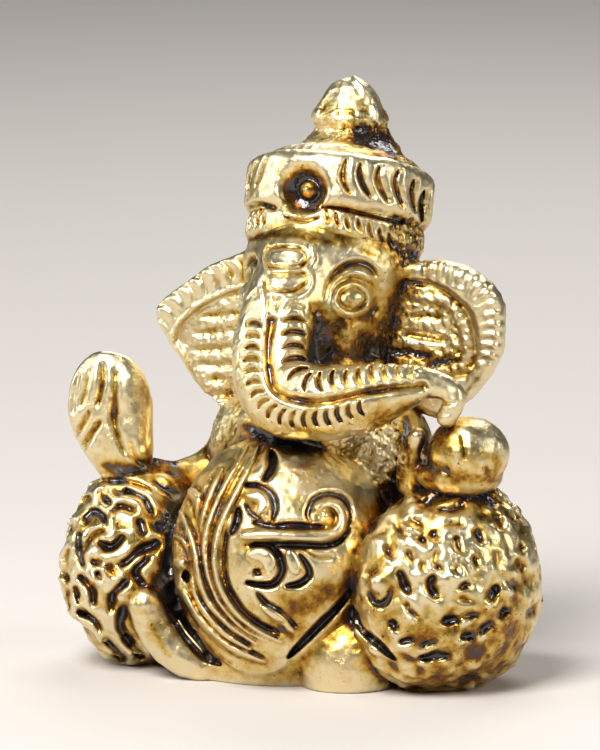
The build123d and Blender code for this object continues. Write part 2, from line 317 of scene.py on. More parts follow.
class Clay:
    """One piece of the idol: distances to its surface on its own part of the grid."""

    def __init__(self, node):
        low, high = (np.array(corner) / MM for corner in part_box(node))
        self.start = np.maximum(np.floor((low - ROOM - GRID_LOW) / VOXEL).astype(int), 0)
        self.stop = np.minimum(np.ceil((high + ROOM - GRID_LOW) / VOXEL).astype(int), GRID_SHAPE)
        self.low = GRID_LOW + self.start * VOXEL
        self.field = np.full(self.stop - self.start, FAR, np.float32)
        self.slices = tuple(slice(a, b) for a, b in zip(self.start, self.stop))

    def places(self, slices=None):
        """The x, y and z of all places, or of those in the slices."""
        axes = []
        for axis in range(3):
            places = (self.low[axis] + VOXEL * np.arange(self.field.shape[axis])).astype(np.float32)
            places = places if slices is None else places[slices[axis]]
            axes.append(places.reshape([-1 if a == axis else 1 for a in range(3)]))
        return axes

    def window(self, low, high):
        """The slices of this clay that a box covers."""
        start = np.maximum(np.floor((low - self.low) / VOXEL).astype(int), 0)
        stop = np.minimum(np.ceil((high - self.low) / VOXEL).astype(int) + 1, self.field.shape)
        return tuple(slice(a, max(a, b)) for a, b in zip(start, stop))

    def apply(self, distance, soft=0.0, cut=False, slices=...):
        """Joins a shape's distances to the clay, or cuts the shape out of it."""
        old = self.field[slices]
        distance = distance.astype(np.float32)
        self.field[slices] = larger(old, -distance, soft) if cut else smaller(old, distance, soft)

    def ellipsoid(self, centre, half, turn=(0, 0, 0), soft=0.0, cut=False):
        """Adds an ellipsoid, or cuts it out. turn is in degrees about x, y and z."""
        matrix = np.array(Euler([math.radians(t) for t in turn]).to_matrix())
        reach = np.sqrt(((matrix * half) ** 2).sum(1)) + soft + 1.6
        slices = self.window(np.array(centre) - reach, np.array(centre) + reach)
        x, y, z = (places - c for places, c in zip(self.places(slices), centre))
        near = 0.0
        steep = 0.0
        for axis in range(3):
            own = x * matrix[0, axis] + y * matrix[1, axis] + z * matrix[2, axis]
            near = near + (own / half[axis]) ** 2
            steep = steep + (own / half[axis] ** 2) ** 2
        near = np.sqrt(near)
        self.apply(near * (near - 1) / np.maximum(np.sqrt(steep), 1e-3), soft, cut, slices)

    def tube(self, stations, soft=0.0, cut=False, reach=0.5):
        """Adds a round strand through stations of (x, y, z, radius), or cuts it out. reach
        is how far from the strand its distances are worked out."""
        stations = curve(stations)
        reach = stations[:, 3].max() + soft + reach
        slices = self.window(stations[:, :3].min(0) - reach, stations[:, :3].max(0) + reach)
        distance = np.full(self.field[slices].shape, FAR, np.float32)
        for a, b in zip(stations, stations[1:]):
            inner = self.window(np.minimum(a, b)[:3] - reach, np.maximum(a, b)[:3] + reach)
            x, y, z = (places - p for places, p in zip(self.places(inner), a))
            way = b - a
            share = (x * way[0] + y * way[1] + z * way[2]) / max((way[:3] ** 2).sum(), 1e-9)
            share = np.clip(share, 0, 1)
            gap = np.sqrt((x - share * way[0]) ** 2 + (y - share * way[1]) ** 2 + (z - share * way[2]) ** 2)
            here = tuple(slice(i.start - s.start, i.stop - s.start) for i, s in zip(inner, slices))
            distance[here] = np.minimum(distance[here], gap - a[3] - share * way[3])
        self.apply(distance, soft, cut, slices)

    def slab(self, outline, middle, half_thickness, rounding=0.4, cut=False, soft=0.0):
        """A plate with a smooth closed outline in x and z, across y."""
        x, y, z = self.places()
        flat = gap_to_outline(outline, x[:, 0], z[0])[:, None, :]
        across = np.abs(y - middle) - half_thickness
        self.apply(larger(flat, across, rounding), soft, cut)

    def turned(self, centre, tilt, profile, soft=0.0, cut=False):
        """A round solid about an axis that leans back by tilt. profile gives the distance
        from the radius out of the axis and the height along it."""
        x, y, z = (places - c for places, c in zip(self.places(), centre))
        height = y * math.sin(tilt) + z * math.cos(tilt)
        forward = y * math.cos(tilt) - z * math.sin(tilt)
        self.apply(profile(np.sqrt(x * x + forward * forward), height), soft, cut)

    def facing(self, side=1):
        """1 where the surface faces the viewer, 0 where it faces away. side is -1 for a
        viewer at the mirrored place."""
        slopes = np.gradient(self.field, VOXEL)
        toward = slopes[0] * TO_VIEWER[0] * side + slopes[1] * TO_VIEWER[1] + slopes[2] * TO_VIEWER[2]
        return smooth((toward - 0.02) / 0.3)

    def carve(self, drawing, mirror=False):
        """Raises or sinks the surface as drawn, on the side that faces the viewer."""
        x, y, z = self.places()
        change = drawing.seen(x, y, z) * self.facing()
        if mirror:
            change = change + drawing.seen(-x, y, z) * self.facing(-1)
        self.field -= change


def sight(pieces, drawn):
    """Where the viewer sees each drawn point on the clays, as points in space. A line of
    sight that misses them gives its nearest point to them."""
    drawn = np.asarray(drawn, float)
    plane = TARGET + drawn[:, :1] * RIGHTWARD + (drawn[:, 1:2] - TARGET_HEIGHT) * UPWARD
    away = plane - VIEWER
    away /= np.linalg.norm(away, axis=1, keepdims=True)
    along = np.arange(-SIGHT_REACH, SIGHT_REACH, 0.1)
    points = plane[:, None, :] + away[:, None, :] * along[None, :, None]
    values = np.min([sample(piece.field, piece.low, points) for piece in pieces], axis=0)
    hit = values < 0
    found = np.where(hit.any(1), hit.argmax(1), values.argmin(1))
    return points[np.arange(len(points)), found]


def tapered(points, radius):
    """Stations with the radius greatest in the middle and small at both ends."""
    share = np.linspace(0, 1, len(points))
    return np.column_stack((points, radius * (0.35 + 0.65 * np.sin(np.pi * share) ** 0.6)))


def even(points, radius):
    """Stations of one radius."""
    return np.column_stack((points, np.full(len(points), radius)))


def sheet(node, under, area, thickness):
    """Lays a sheet on the front of other clays, where area, a drawing of distances, is
    negative. It also reaches a little way down into them."""
    piece = clay[node]
    x, y, z = piece.places()
    below = np.full(GRID_SHAPE, FAR, np.float32)
    for other in under:
        below[clay[other].slices] = np.minimum(below[clay[other].slices], clay[other].field)
    below = below[piece.slices]
    layer = np.maximum(below - thickness, -below - SHEET_ROOT)
    piece.field[:] = np.maximum(np.maximum(layer, area.seen(x, y, z)), y - SHEET_BACK)


# The masses ---------------------------------------------------------------------------

NODES = sorted(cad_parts)
clay = {node: Clay(node) for node in NODES}

# Torso, hips and belly.
TORSO_CENTRE, TORSO_HALF = (0, 3.0, 11.2), (9.6, 8.2, 13.0)
HIPS_CENTRE, HIPS_HALF = (0, 2.2, 3.6), (13.4, 9.8, 7.4)
clay["torso"].ellipsoid(TORSO_CENTRE, TORSO_HALF)
clay["torso"].ellipsoid((0.5, -2.4, 21.2), (5.6, 4.2, 3.6), soft=1.5)
for side in (-1, 1):
    clay["torso"].ellipsoid((side * 5.6, 3.0, 18.6), (4.4, 4.4, 4.8), soft=2.0)
clay["hips"].ellipsoid(HIPS_CENTRE, HIPS_HALF)
clay["belly"].ellipsoid((-0.1, -4.7, 10.3), (9.3, 9.4, 10.4))
clay["belly"].ellipsoid((-2.4, -4.6, 1.2), (6.8, 4.6, 4.4), soft=3.0)


def behind(centre, half, angle, height):
    """The point on the back of an ellipsoid, at an angle, in degrees, to the left."""
    turn = math.radians(angle)
    share = math.sqrt(1 - ((height - centre[2]) / half[2]) ** 2)
    return (
        centre[0] + half[0] * share * math.sin(turn),
        centre[1] + half[1] * share * math.cos(turn),
        height,
    )


# A folded cloth crosses the back from the left shoulder, and pleats go round the hips.
for fold in range(4):
    route = [(62, 21.0), (38, 18.6), (8, 14.6), (-24, 10.8), (-52, 8.0)]
    strand = [behind(TORSO_CENTRE, TORSO_HALF, angle, height - 1.25 * fold) for angle, height in route]
    clay["torso"].tube([(*point, 0.62) for point in strand], soft=0.35)
for angle in np.arange(-76, 80, 9):
    pleat = [(angle, 1.0), (angle + 2, 3.0), (angle + 1, 5.2), (angle - 3, 7.4)]
    groove = np.array([behind(HIPS_CENTRE, HIPS_HALF, turn, height) for turn, height in pleat])
    width = RNG.uniform(0.3, 0.5)
    clay["hips"].tube([(*point, width) for point in groove], soft=0.4, cut=True)

# Legs and feet.
LEG_CENTRE, LEG_HALF = (14.1, -1.9, 8.3), (7.1, 9.4, 8.9)
clay["left_leg"].ellipsoid(LEG_CENTRE, LEG_HALF)
clay["right_leg"].ellipsoid((-LEG_CENTRE[0], *LEG_CENTRE[1:]), LEG_HALF)
clay["left_leg"].ellipsoid((11.6, -6.5, 7.8), (4.3, 5.0, 6.8), soft=2.5)
RIGHT_FOOT = [
    (-10.6, -10.0, 6.3, 1.5),
    (-9.8, -9.4, 4.3, 1.75),
    (-8.2, -9.0, 2.4, 1.8),
    (-6.2, -8.4, 1.2, 1.5),
]
clay["right_foot"].tube(RIGHT_FOOT, reach=1.8)
clay["left_foot"].ellipsoid((6.2, -5.4, 2.6), (4.7, 5.1, 4.7), turn=(14, 0, 8))

# Head: a forehead, cheeks, and a fuller back that carries the crown.
head = clay["head"]
head.ellipsoid((0, 3.4, 31.0), (6.3, 7.3, 8.0), turn=(-8, 0, 0))
head.ellipsoid((0, 5.4, 34.2), (7.5, 7.6, 5.8), soft=1.5)
head.ellipsoid((0, 2.2, 25.0), (5.4, 5.2, 3.6), soft=2.0)
for side in (-1, 1):
    head.ellipsoid((side * 2.8, -1.4, 28.8), (2.9, 3.0, 4.4), soft=1.5)

# Trunk. The head takes its root in, so that the forehead runs into it.
TRUNK = [
    (-0.2, 0.2, 35.8, 2.2),
    (-0.4, -2.4, 33.4, 2.9),
    (-0.6, -4.6, 30.4, 3.3),
    (-0.7, -5.9, 27.4, 3.4),
    (0.8, -7.3, 24.5, 3.4),
    (3.9, -8.2, 24.0, 3.2),
    (7.0, -8.4, 24.3, 3.0),
    (9.5, -7.8, 24.9, 2.45),
    (11.7, -7.0, 25.5, 1.85),
    (13.2, -6.4, 25.8, 1.3),
    (14.9, -5.9, 25.4, 1.05),
    (15.6, -6.0, 24.5, 0.95),
    (15.1, -6.3, 23.1, 0.85),
]
trunk = clay["trunk"]
trunk.tube(TRUNK, reach=1.8)
head.tube([(x, y + 0.15, z, r) for x, y, z, r in TRUNK[:4]], soft=2.2, reach=1.8)

# Ears: a dished plate inside a broad rim.
EAR_Y = 4.6
LEFT_EAR = [
    (8.2, 34.7), (10.7, 34.8), (12.7, 34.4), (14.6, 33.3), (15.8, 31.8), (16.0, 29.6), (15.9, 27.8),
    (15.4, 26.1), (14.4, 24.7), (12.6, 22.9), (9.5, 21.6), (4.0, 26.0), (4.0, 35.0),
]
LEFT_DISH = [
    (6.0, 33.2), (9.8, 33.0), (12.0, 31.9), (13.5, 30.2), (13.9, 28.2), (13.8, 26.2), (12.0, 25.0),
    (6.0, 25.0),
]
RIGHT_EAR = [
    (-7.4, 35.2), (-10.7, 33.8), (-12.7, 32.5), (-14.9, 30.9), (-16.1, 29.3), (-14.8, 26.9),
    (-13.3, 24.9), (-11.6, 22.8), (-9.9, 21.4), (-9.4, 19.0), (-7.0, 19.5), (-4.0, 25.0), (-4.0, 35.0),
]
RIGHT_DISH = [
    (-6.0, 32.2), (-9.4, 31.4), (-12.2, 29.8), (-13.8, 27.8), (-13.0, 25.8), (-11.0, 22.5),
    (-6.0, 22.5),
]
left_ear = clay["left_ear"]
left_ear.slab(LEFT_EAR, EAR_Y, 1.2, rounding=0.9)
left_ear.slab(LEFT_DISH, EAR_Y - 1.7, 1.15, rounding=0.3, cut=True, soft=0.35)
right_ear = clay["right_ear"]
right_ear.slab(RIGHT_EAR, EAR_Y, 1.1, rounding=0.8)
right_ear.slab(RIGHT_DISH, EAR_Y - 1.7, 1.0, rounding=0.3, cut=True, soft=0.35)

# Arms and hands.
RIGHT_ARM = [
    (-6.6, 2.8, 19.0, 2.6),
    (-9.2, 2.4, 16.2, 2.4),
    (-11.8, 0.2, 14.9, 2.3),
    (-13.8, -2.8, 15.6, 2.1),
]
clay["right_arm"].tube(RIGHT_ARM, reach=1.8)
clay["left_arm"].tube([(-x, y, z, r) for x, y, z, r in RIGHT_ARM], reach=1.8)
palm = clay["right_hand"]
palm.ellipsoid((-16.5, -4.3, 22.0), (3.7, 1.7, 5.0), turn=(0, -6, 14))
palm.ellipsoid((-15.7, -4.2, 18.6), (2.6, 1.8, 3.2), turn=(0, -10, 10), soft=1.2)
palm.tube([(-14.4, -4.0, 17.2, 1.3), (-14.4, -4.1, 20.6, 1.4), (-14.9, -4.3, 24.0, 1.3)], soft=0.8)
cup = clay["left_hand"]
cup.ellipsoid((15.1, -3.4, 18.0), (3.6, 3.7, 1.9))
cup.tube([(11.0, -4.1, 17.0, 1.1), (11.3, -5.0, 19.4, 0.95), (12.2, -5.5, 21.2, 0.8)], soft=0.6)
clay["sweet_ball"].ellipsoid((16.1, -4.0, 19.9), (3.4, 3.4, 3.0))

# Crown: two bands, a rough dome and a bud, about an axis that leans back.
CROWN_CENTRE = (0, 5.9, 35.5)
CROWN_TILT = math.radians(15)
CROWN_RADIUS = 8.1
LOWER_RADIUS = 7.7
LOWER_HEIGHT = 2.2
CROWN_HEIGHT = 7.2


def crown_place(angle, height, radius):
    """The point on the crown at an angle, in degrees, from the front to the left."""
    turn = math.radians(angle)
    out, forward = radius * math.sin(turn), radius * math.cos(turn)
    return (
        CROWN_CENTRE[0] + out,
        CROWN_CENTRE[1] - forward * math.cos(CROWN_TILT) + height * math.sin(CROWN_TILT),
        CROWN_CENTRE[2] + forward * math.sin(CROWN_TILT) + height * math.cos(CROWN_TILT),
    )


def band(radius, low, high, rounding):
    """The profile of a disc of the given radius between two heights, with round edges."""

    def profile(out, height):
        beyond = out - (radius - rounding)
        above = np.abs(height - (low + high) / 2) - ((high - low) / 2 - rounding)
        corner = np.sqrt(np.maximum(beyond, 0) ** 2 + np.maximum(above, 0) ** 2)
        return corner + np.minimum(np.maximum(beyond, above), 0) - rounding

    return profile


lower_band = clay["crown_lower_band"]
upper_band = clay["crown_upper_band"]
lower_band.turned(CROWN_CENTRE, CROWN_TILT, band(LOWER_RADIUS, -0.1, LOWER_HEIGHT + 0.1, 0.8))
upper_band.turned(CROWN_CENTRE, CROWN_TILT, band(CROWN_RADIUS, LOWER_HEIGHT - 0.1, CROWN_HEIGHT, 1.3))
dome = clay["crown_dome"]
dome.ellipsoid((0, 8.0, 42.2), (6.8, 6.4, 1.9), turn=(-15, 0, 0))
dome.ellipsoid((0.4, 9.0, 43.2), (4.4, 4.4, 2.8), turn=(0, 8, 0), soft=0.8)
dome.ellipsoid((0.5, 9.4, 45.0), (2.9, 2.9, 1.7), soft=0.8)
finial = clay["crown_finial"]
finial.ellipsoid((0, 9.5, 46.5), (3.4, 3.4, 1.4), turn=(0, 5, 0))
BUD = [
    (0, 9.5, 46.7, 2.9),
    (0, 9.5, 47.3, 2.6),
    (0.1, 9.4, 48.2, 1.8),
    (0.2, 9.4, 49.0, 1.0),
    (0.2, 9.4, 49.5, 0.3),
]
finial.tube(BUD, soft=0.8, reach=1.8)

# The bands' grooves go round the back. The drawing has the front ones.
for angle in np.arange(100, 315, 12):
    bow = [(4, 6.6), (0, 5.6), (-1, 4.6), (2, 3.4), (6, 2.7)]
    groove = [crown_place(angle + lean, height, CROWN_RADIUS + 0.1) for lean, height in bow]
    upper_band.tube(tapered(groove, 0.42), soft=0.15, cut=True)
for angle in np.arange(86, 330, 9):
    slant = [(-2, 0.5), (0, 1.1), (2, 1.8)]
    tick = [crown_place(angle + lean, height, LOWER_RADIUS) for lean, height in slant]
    lower_band.tube(tapered(tick, 0.32), soft=0.15, cut=True)

# The jewel: a gem at the bottom of a deep round cup in the front of the crown.
jewel = clay["crown_jewel"]
CUP_TURN = (15, 0, 0)
mouth = sight([upper_band], [(0.1, 41.0)])[0]
jewel.ellipsoid(mouth + (0, 1.7, 0), (2.3, 1.2, 2.3), turn=CUP_TURN)
for pit in (upper_band, lower_band, jewel):
    pit.ellipsoid(mouth + (0, -0.1, 0), (2.25, 1.8, 2.25), turn=CUP_TURN, soft=0.7, cut=True)
jewel.ellipsoid(mouth + (0.15, 1.5, -0.3), (0.85, 0.8, 0.85), turn=CUP_TURN)
jewel.ellipsoid(mouth + (0.15, 0.75, -0.25), (0.3, 0.25, 0.3), turn=CUP_TURN, soft=0.15)

# Face ---------------------------------------------------------------------------------

# The trunk: two lobes with a groove between them, and crescents along both.
TRUNK_GROOVE = [
    (-2.4, 29.8), (-2.7, 27.1), (-2.4, 24.6), (-1.6, 23.6), (-0.3, 23.1), (1.6, 22.9), (3.5, 23.2),
    (6.0, 23.8), (8.4, 24.1), (10.4, 24.3),
]
LEFT_ROW = [
    (-3.9, 29.5), (-4.0, 27.8), (-4.0, 25.7), (-3.8, 24.1), (-3.0, 22.7), (-1.9, 21.9), (-0.5, 21.5),
    (2.0, 21.6), (5.1, 22.4),
]
RIGHT_ROW = [
    (-0.5, 31.0), (-0.5, 28.6), (-0.5, 26.3), (0.0, 25.1), (0.9, 24.6), (2.3, 24.7), (4.6, 24.9),
    (7.4, 25.4), (9.4, 25.5),
]
face = Drawing()
face.stroke(RIGHT_ROW, 1.9, 0.25, flat=0.35)
face.stroke(TRUNK_GROOVE, 0.62, -0.5, flat=0.1, taper=False)
face.row(LEFT_ROW, 17, 1.4, 0.3, -0.34)
face.row(RIGHT_ROW, 15, 1.8, 0.32, -0.16)
face.stroke([(11.8, 22.9), (12.5, 22.75), (13.2, 22.9)], 0.22, -0.25)
face.stroke([(11.4, 22.2), (12.0, 21.95), (12.5, 22.0)], 0.2, -0.2)

# The forehead mark: raised pads between two ridges that run down into the trunk.
PADS = [
    [
        (-2.6, 35.8), (-1.2, 36.0), (0.1, 35.8), (0.6, 35.2),
        (0.0, 34.4), (-1.4, 34.3), (-2.6, 34.4), (-2.8, 35.1),
    ],
    [
        (-2.6, 33.7), (-1.0, 33.7), (0.4, 33.7), (0.4, 33.1),
        (-0.3, 32.4), (-1.5, 32.3), (-2.6, 32.4), (-2.8, 33.0),
    ],
    [(-2.4, 31.8), (-1.7, 31.7), (-1.7, 31.1), (-2.0, 30.6), (-2.4, 30.8), (-2.5, 31.3)],
]
MARK_RIDGES = [
    [(-2.8, 36.4), (-3.3, 35.2), (-3.1, 34.0), (-3.4, 33.1), (-3.2, 31.9), (-3.0, 30.5), (-3.0, 28.8)],
    [(1.0, 36.2), (1.15, 35.1), (0.6, 34.1), (0.95, 33.5), (0.75, 32.4), (-0.1, 31.8), (-1.0, 31.6)],
]
pad_area = Drawing(9.0)
for drawn in MARK_RIDGES:
    face.stroke(drawn, 0.42, 0.2)
for pad in PADS:
    face.patch(pad, -0.42, edge=0.9)
    face.patch(pad, 0.28, edge=0.35)
    face.stroke(pad + pad[:1], 0.26, -0.3, taper=False)
    slices, u, v = pad_area.window(np.min(pad, 0) - 1, np.max(pad, 0) + 1)
    pad_area.values[slices] = np.minimum(pad_area.values[slices], gap_to_outline(pad, u, v))
sheet("forehead_mark", ["head", "trunk"], pad_area, 0.1)

# Cheeks, alike on both sides. The trunk's top is their lower edge.
cheek = Drawing()
EYE = (4.4, 31.7)
EYE_SOCKET = [
    (3.1, 31.5), (3.4, 32.3), (4.3, 32.75), (5.2, 32.4), (5.65, 31.6), (5.3, 30.9), (4.5, 30.55),
    (3.6, 30.8),
]
EYE_SWELL = [
    (3.5, 31.5), (3.7, 32.1), (4.4, 32.4), (5.0, 32.1), (5.3, 31.6), (5.0, 31.1), (4.4, 30.9),
    (3.8, 31.1),
]
LID = [
    (2.75, 31.4), (3.1, 32.5), (4.3, 33.1), (5.5, 32.7), (6.0, 31.7), (5.7, 30.7), (4.6, 30.2),
    (3.4, 30.5),
]
cheek.patch([(0.9, 31.0), (2.2, 30.6), (4.2, 29.6), (5.8, 28.6), (6.0, 26.6), (3.5, 26.3), (1.2, 26.3)],
            -0.25, edge=1.2)
cheek.patch([(2.4, 32.4), (3.6, 34.4), (5.2, 34.8), (6.6, 33.6), (6.9, 31.8), (5.6, 29.8), (3.4, 29.9)],
            -0.2, edge=1.0)
cheek.stroke([(2.1, 31.7), (2.7, 33.3), (3.6, 34.3), (4.7, 34.7), (5.8, 34.4), (6.5, 33.7)], 0.42, -0.5)
cheek.stroke([(2.2, 31.2), (2.6, 32.7), (3.6, 33.65), (4.8, 33.9), (6.2, 33.3)], 0.35, 0.15)
cheek.patch(LID, 0.22, edge=0.4)
cheek.patch(EYE_SOCKET, -0.3, edge=0.3)
cheek.patch(EYE_SWELL, 0.08, edge=0.35)
cheek.strokes(
    ([(6.5, 31.8), (6.4, 31.0), (5.9, 30.2)], 0.3, -0.35),
    ([(4.4, 30.0), (4.5, 29.2)], 0.3, -0.3),
    ([(2.1, 26.9), (2.9, 27.3), (3.7, 27.0)], 0.45, -0.5),
)
cheek.patch([(4.0, 27.0), (4.5, 28.4), (5.1, 28.9), (5.9, 28.0), (6.4, 26.8), (5.0, 26.5)], -0.45, edge=1.2)

# Each eye is a low ball inside its lids.
eye_at = sight([head], [EYE])[0]
for name, side in (("left", 1), ("right", -1)):
    eye = clay[f"{name}_eye"]
    eye.ellipsoid(eye_at * (side, 1, 1) + (-0.12 * side, 0.35, 0), (1.05, 0.75, 0.75), turn=(0, 0, side * 35))
cheek.soften(0.1)
head.carve(cheek, mirror=True)
for node in ("head", "trunk", "forehead_mark"):
    clay[node].carve(face)

# Ears ---------------------------------------------------------------------------------

ears = Drawing()
LEFT_RIM = [(10.6, 34.1), (12.5, 33.9), (14.2, 33.2), (15.6, 31.9), (16.1, 30.2), (16.1, 28.2), (15.7, 26.4)]
LEFT_RIM_INNER = [
    (9.6, 33.0), (11.4, 32.7), (13.1, 31.6), (14.2, 30.4), (14.7, 28.8), (14.8, 27.4), (14.7, 26.0),
]
ears.stroke(LEFT_RIM_INNER, 0.3, -0.35, taper=False)
ears.row(LEFT_RIM, 14, 1.9, 0.26, -0.22, bow=0.2)
ears.stroke([(9.8, 31.7), (12.0, 31.6), (13.1, 30.5), (13.7, 29.1), (14.0, 27.2)], 0.5, 0.22, flat=0.1)
ears.strokes(
    ([(10.2, 31.0), (11.8, 30.9)], 0.3, -0.3),
    ([(9.6, 30.1), (10.8, 30.2), (12.0, 29.9)], 0.4, -0.4),
    ([(8.9, 28.7), (10.5, 28.4), (12.4, 28.1)], 0.45, -0.5),
    ([(7.8, 27.2), (9.4, 27.1), (10.9, 26.8)], 0.55, -0.4),
    ([(13.0, 27.1), (13.9, 27.2)], 0.35, -0.4),
    ([(10.8, 26.0), (12.4, 26.3), (13.6, 26.5)], 0.4, -0.4),
)
RIGHT_RIM = [(-4.9, 34.2), (-6.6, 33.6), (-8.3, 32.8), (-9.9, 31.8), (-11.1, 30.7), (-11.7, 29.8)]
RIGHT_RIM_INNER = [
    (-4.7, 32.7), (-5.8, 32.4), (-7.2, 31.8), (-8.7, 31.0), (-9.8, 30.1), (-10.6, 29.0), (-10.8, 28.0),
]
ears.stroke(RIGHT_RIM_INNER, 0.65, -0.3, taper=False)
ears.stroke(RIGHT_RIM_INNER, 0.3, 0.2, taper=False)
ears.row(RIGHT_RIM, 8, 2.2, 0.36, -0.3, bow=0.5)
for bar in (
    [(-8.3, 30.1), (-6.6, 30.3), (-5.0, 30.5)],
    [(-9.0, 28.6), (-7.0, 28.9), (-5.0, 29.1)],
    [(-8.9, 27.3), (-7.2, 27.4), (-5.0, 27.6)],
    [(-8.6, 26.1), (-7.0, 26.0), (-5.2, 26.2)],
    [(-7.6, 24.8), (-6.2, 24.9)],
    [(-7.6, 23.4), (-5.6, 23.7)],
):
    ears.stroke(bar, 0.42, -0.35)
ears.soften(0.12)
for node in ("left_ear", "right_ear"):
    clay[node].carve(ears)

# Crown --------------------------------------------------------------------------------

crown = Drawing()
for groove in (
    [(3.9, 43.4), (3.6, 42.6), (3.6, 41.6), (4.2, 40.5)],
    [(5.1, 43.1), (5.0, 42.2), (5.3, 41.2), (6.0, 40.1)],
    [(6.7, 42.8), (6.5, 41.9), (6.8, 40.9), (7.4, 39.8)],
    [(8.3, 42.5), (8.0, 41.6), (8.2, 40.6), (8.7, 39.3)],
    [(9.6, 41.7), (9.4, 40.8), (9.5, 39.9), (9.7, 39.0)],
    [(10.5, 40.8), (10.2, 39.9), (10.2, 39.0), (10.3, 38.2)],
):
    crown.stroke([(u + 0.3, v) for u, v in groove], 0.55, -0.2, flat=0.0)
    crown.stroke(groove, 0.36, -0.5)
for line in ([(-3.4, 43.7), (-4.0, 42.3), (-4.4, 40.9)], [(-2.8, 43.8), (-3.3, 42.3), (-3.8, 41.0)]):
    crown.stroke(line, 0.24, -0.2)
crown.stroke([(-4.8, 39.3), (-3.4, 39.7), (-2.2, 39.3)], 0.3, -0.35, taper=False)
crown.stroke([(-1.4, 38.6), (0.2, 38.2), (1.6, 38.5)], 0.28, -0.35)
crown.stroke([(1.8, 39.4), (3.2, 39.3), (4.8, 38.9), (6.7, 38.4), (8.6, 38.0)], 0.26, -0.3)
LOWER_TICKS = [
    (-4.3, 38.4), (-3.8, 38.5), (-3.3, 38.6), (2.2, 38.6), (3.0, 38.3), (3.9, 38.0), (4.9, 37.8),
    (5.8, 37.4), (6.7, 37.0), (7.5, 36.5),
]
for u, v in LOWER_TICKS:
    crown.stroke([(u, v + 0.65), (u + 0.05, v), (u + 0.3, v - 0.6)], 0.27, -0.3)
for node in ("crown_upper_band", "crown_lower_band"):
    clay[node].carve(crown)
bud = Drawing()
bud.stroke([(4.6, 50.4), (5.6, 49.3), (6.4, 47.9), (6.6, 46.4)], 0.9, 0.3, flat=0.0)
bud.stroke([(3.4, 49.9), (2.6, 48.6), (1.7, 47.4)], 0.5, -0.12, flat=0.0)
finial.carve(bud)

# Hands --------------------------------------------------------------------------------

hands = Drawing()
hands.strokes(
    ([(-18.6, 25.3), (-19.0, 23.6), (-19.2, 21.9)], 0.35, -0.35),
    ([(-17.7, 25.8), (-18.1, 24.3), (-18.5, 22.4)], 0.38, -0.45),
    ([(-16.7, 26.2), (-16.7, 24.5), (-17.1, 22.6)], 0.42, -0.5),
    ([(-15.6, 25.6), (-15.6, 23.7), (-15.7, 21.4), (-15.2, 19.6), (-14.7, 18.6)], 0.45, -0.45),
    ([(-17.6, 22.4), (-18.4, 20.9), (-19.1, 20.1)], 0.4, -0.45),
    ([(-16.8, 21.4), (-17.7, 20.1), (-18.4, 18.9)], 0.45, -0.5),
    ([(-14.2, 19.6), (-14.0, 18.4), (-13.2, 17.6)], 0.4, -0.4),
    ([(13.7, 20.2), (13.9, 19.2), (13.8, 17.9)], 0.26, -0.3),
    ([(10.7, 20.2), (10.5, 19.0), (10.7, 17.6)], 0.4, -0.3),
    ([(12.3, 17.6), (12.4, 16.8)], 0.3, -0.25),
    ([(15.7, 17.6), (15.8, 16.8)], 0.3, -0.25),
)
hands.soften(0.12)
for node in ("right_hand", "left_hand", "sweet_ball"):
    clay[node].carve(hands)

# Belly, sash and scrolls --------------------------------------------------------------

body = Drawing()


def ridge(drawn, radius, height, shadow=0.3):
    """A raised fold with a sunk line along each side."""
    body.stroke(drawn, radius + shadow, -0.22, flat=0.5)
    body.stroke(drawn, radius, height, flat=0.1)


# The sash: long folds down the right side of the belly, and curls of its hem outside them.
ridge([(-9.9, 7.0), (-8.8, 5.2), (-7.2, 3.4), (-5.2, 1.9), (-3.0, 1.0)], 0.6, 0.3)
ridge([(-10.8, 11.7), (-9.8, 11.2), (-9.1, 9.6), (-8.9, 7.4), (-8.1, 5.4), (-6.4, 3.4), (-4.2, 2.0)], 0.5,
      0.35)
ridge([(-10.3, 13.9), (-9.5, 12.4), (-8.9, 10.2), (-8.5, 8.0), (-7.7, 6.0), (-6.0, 4.1), (-3.7, 2.5)], 0.45,
      0.35)
ridge([(-10.3, 16.1), (-9.5, 15.6), (-8.6, 14.7), (-8.3, 13.2), (-8.5, 11.6)], 0.7, 0.4)
ridge([(-6.6, 17.3), (-7.7, 14.8), (-8.2, 13.0), (-8.3, 11.2)], 0.4, 0.3)
ridge([(-4.4, 19.2), (-5.9, 16.7), (-7.2, 14.1), (-7.9, 12.0), (-8.0, 9.9), (-7.6, 7.9), (-6.6, 5.8),
       (-4.8, 3.8), (-2.7, 2.7)], 0.42, 0.3, 0.2)
ridge([(-3.5, 19.2), (-4.8, 16.4), (-6.2, 13.7), (-7.0, 11.5), (-7.2, 9.3), (-6.7, 7.1), (-5.5, 5.2),
       (-3.7, 3.7), (-1.5, 2.6)], 0.44, 0.38, 0.25)
body.stroke([(-6.2, 12.2), (-6.45, 9.6), (-6.2, 7.6), (-5.2, 5.8), (-3.9, 4.5), (-1.9, 3.3)], 0.4, -0.35,
            taper=False)
body.stroke([(-10.3, 9.5), (-10.1, 9.2)], 0.75, 0.45, flat=0.1)
body.stroke([(-9.7, 8.6), (-9.5, 7.8)], 0.5, -0.6)
body.stroke([(-9.9, 12.3), (-10.3, 12.6)], 0.35, -0.4)

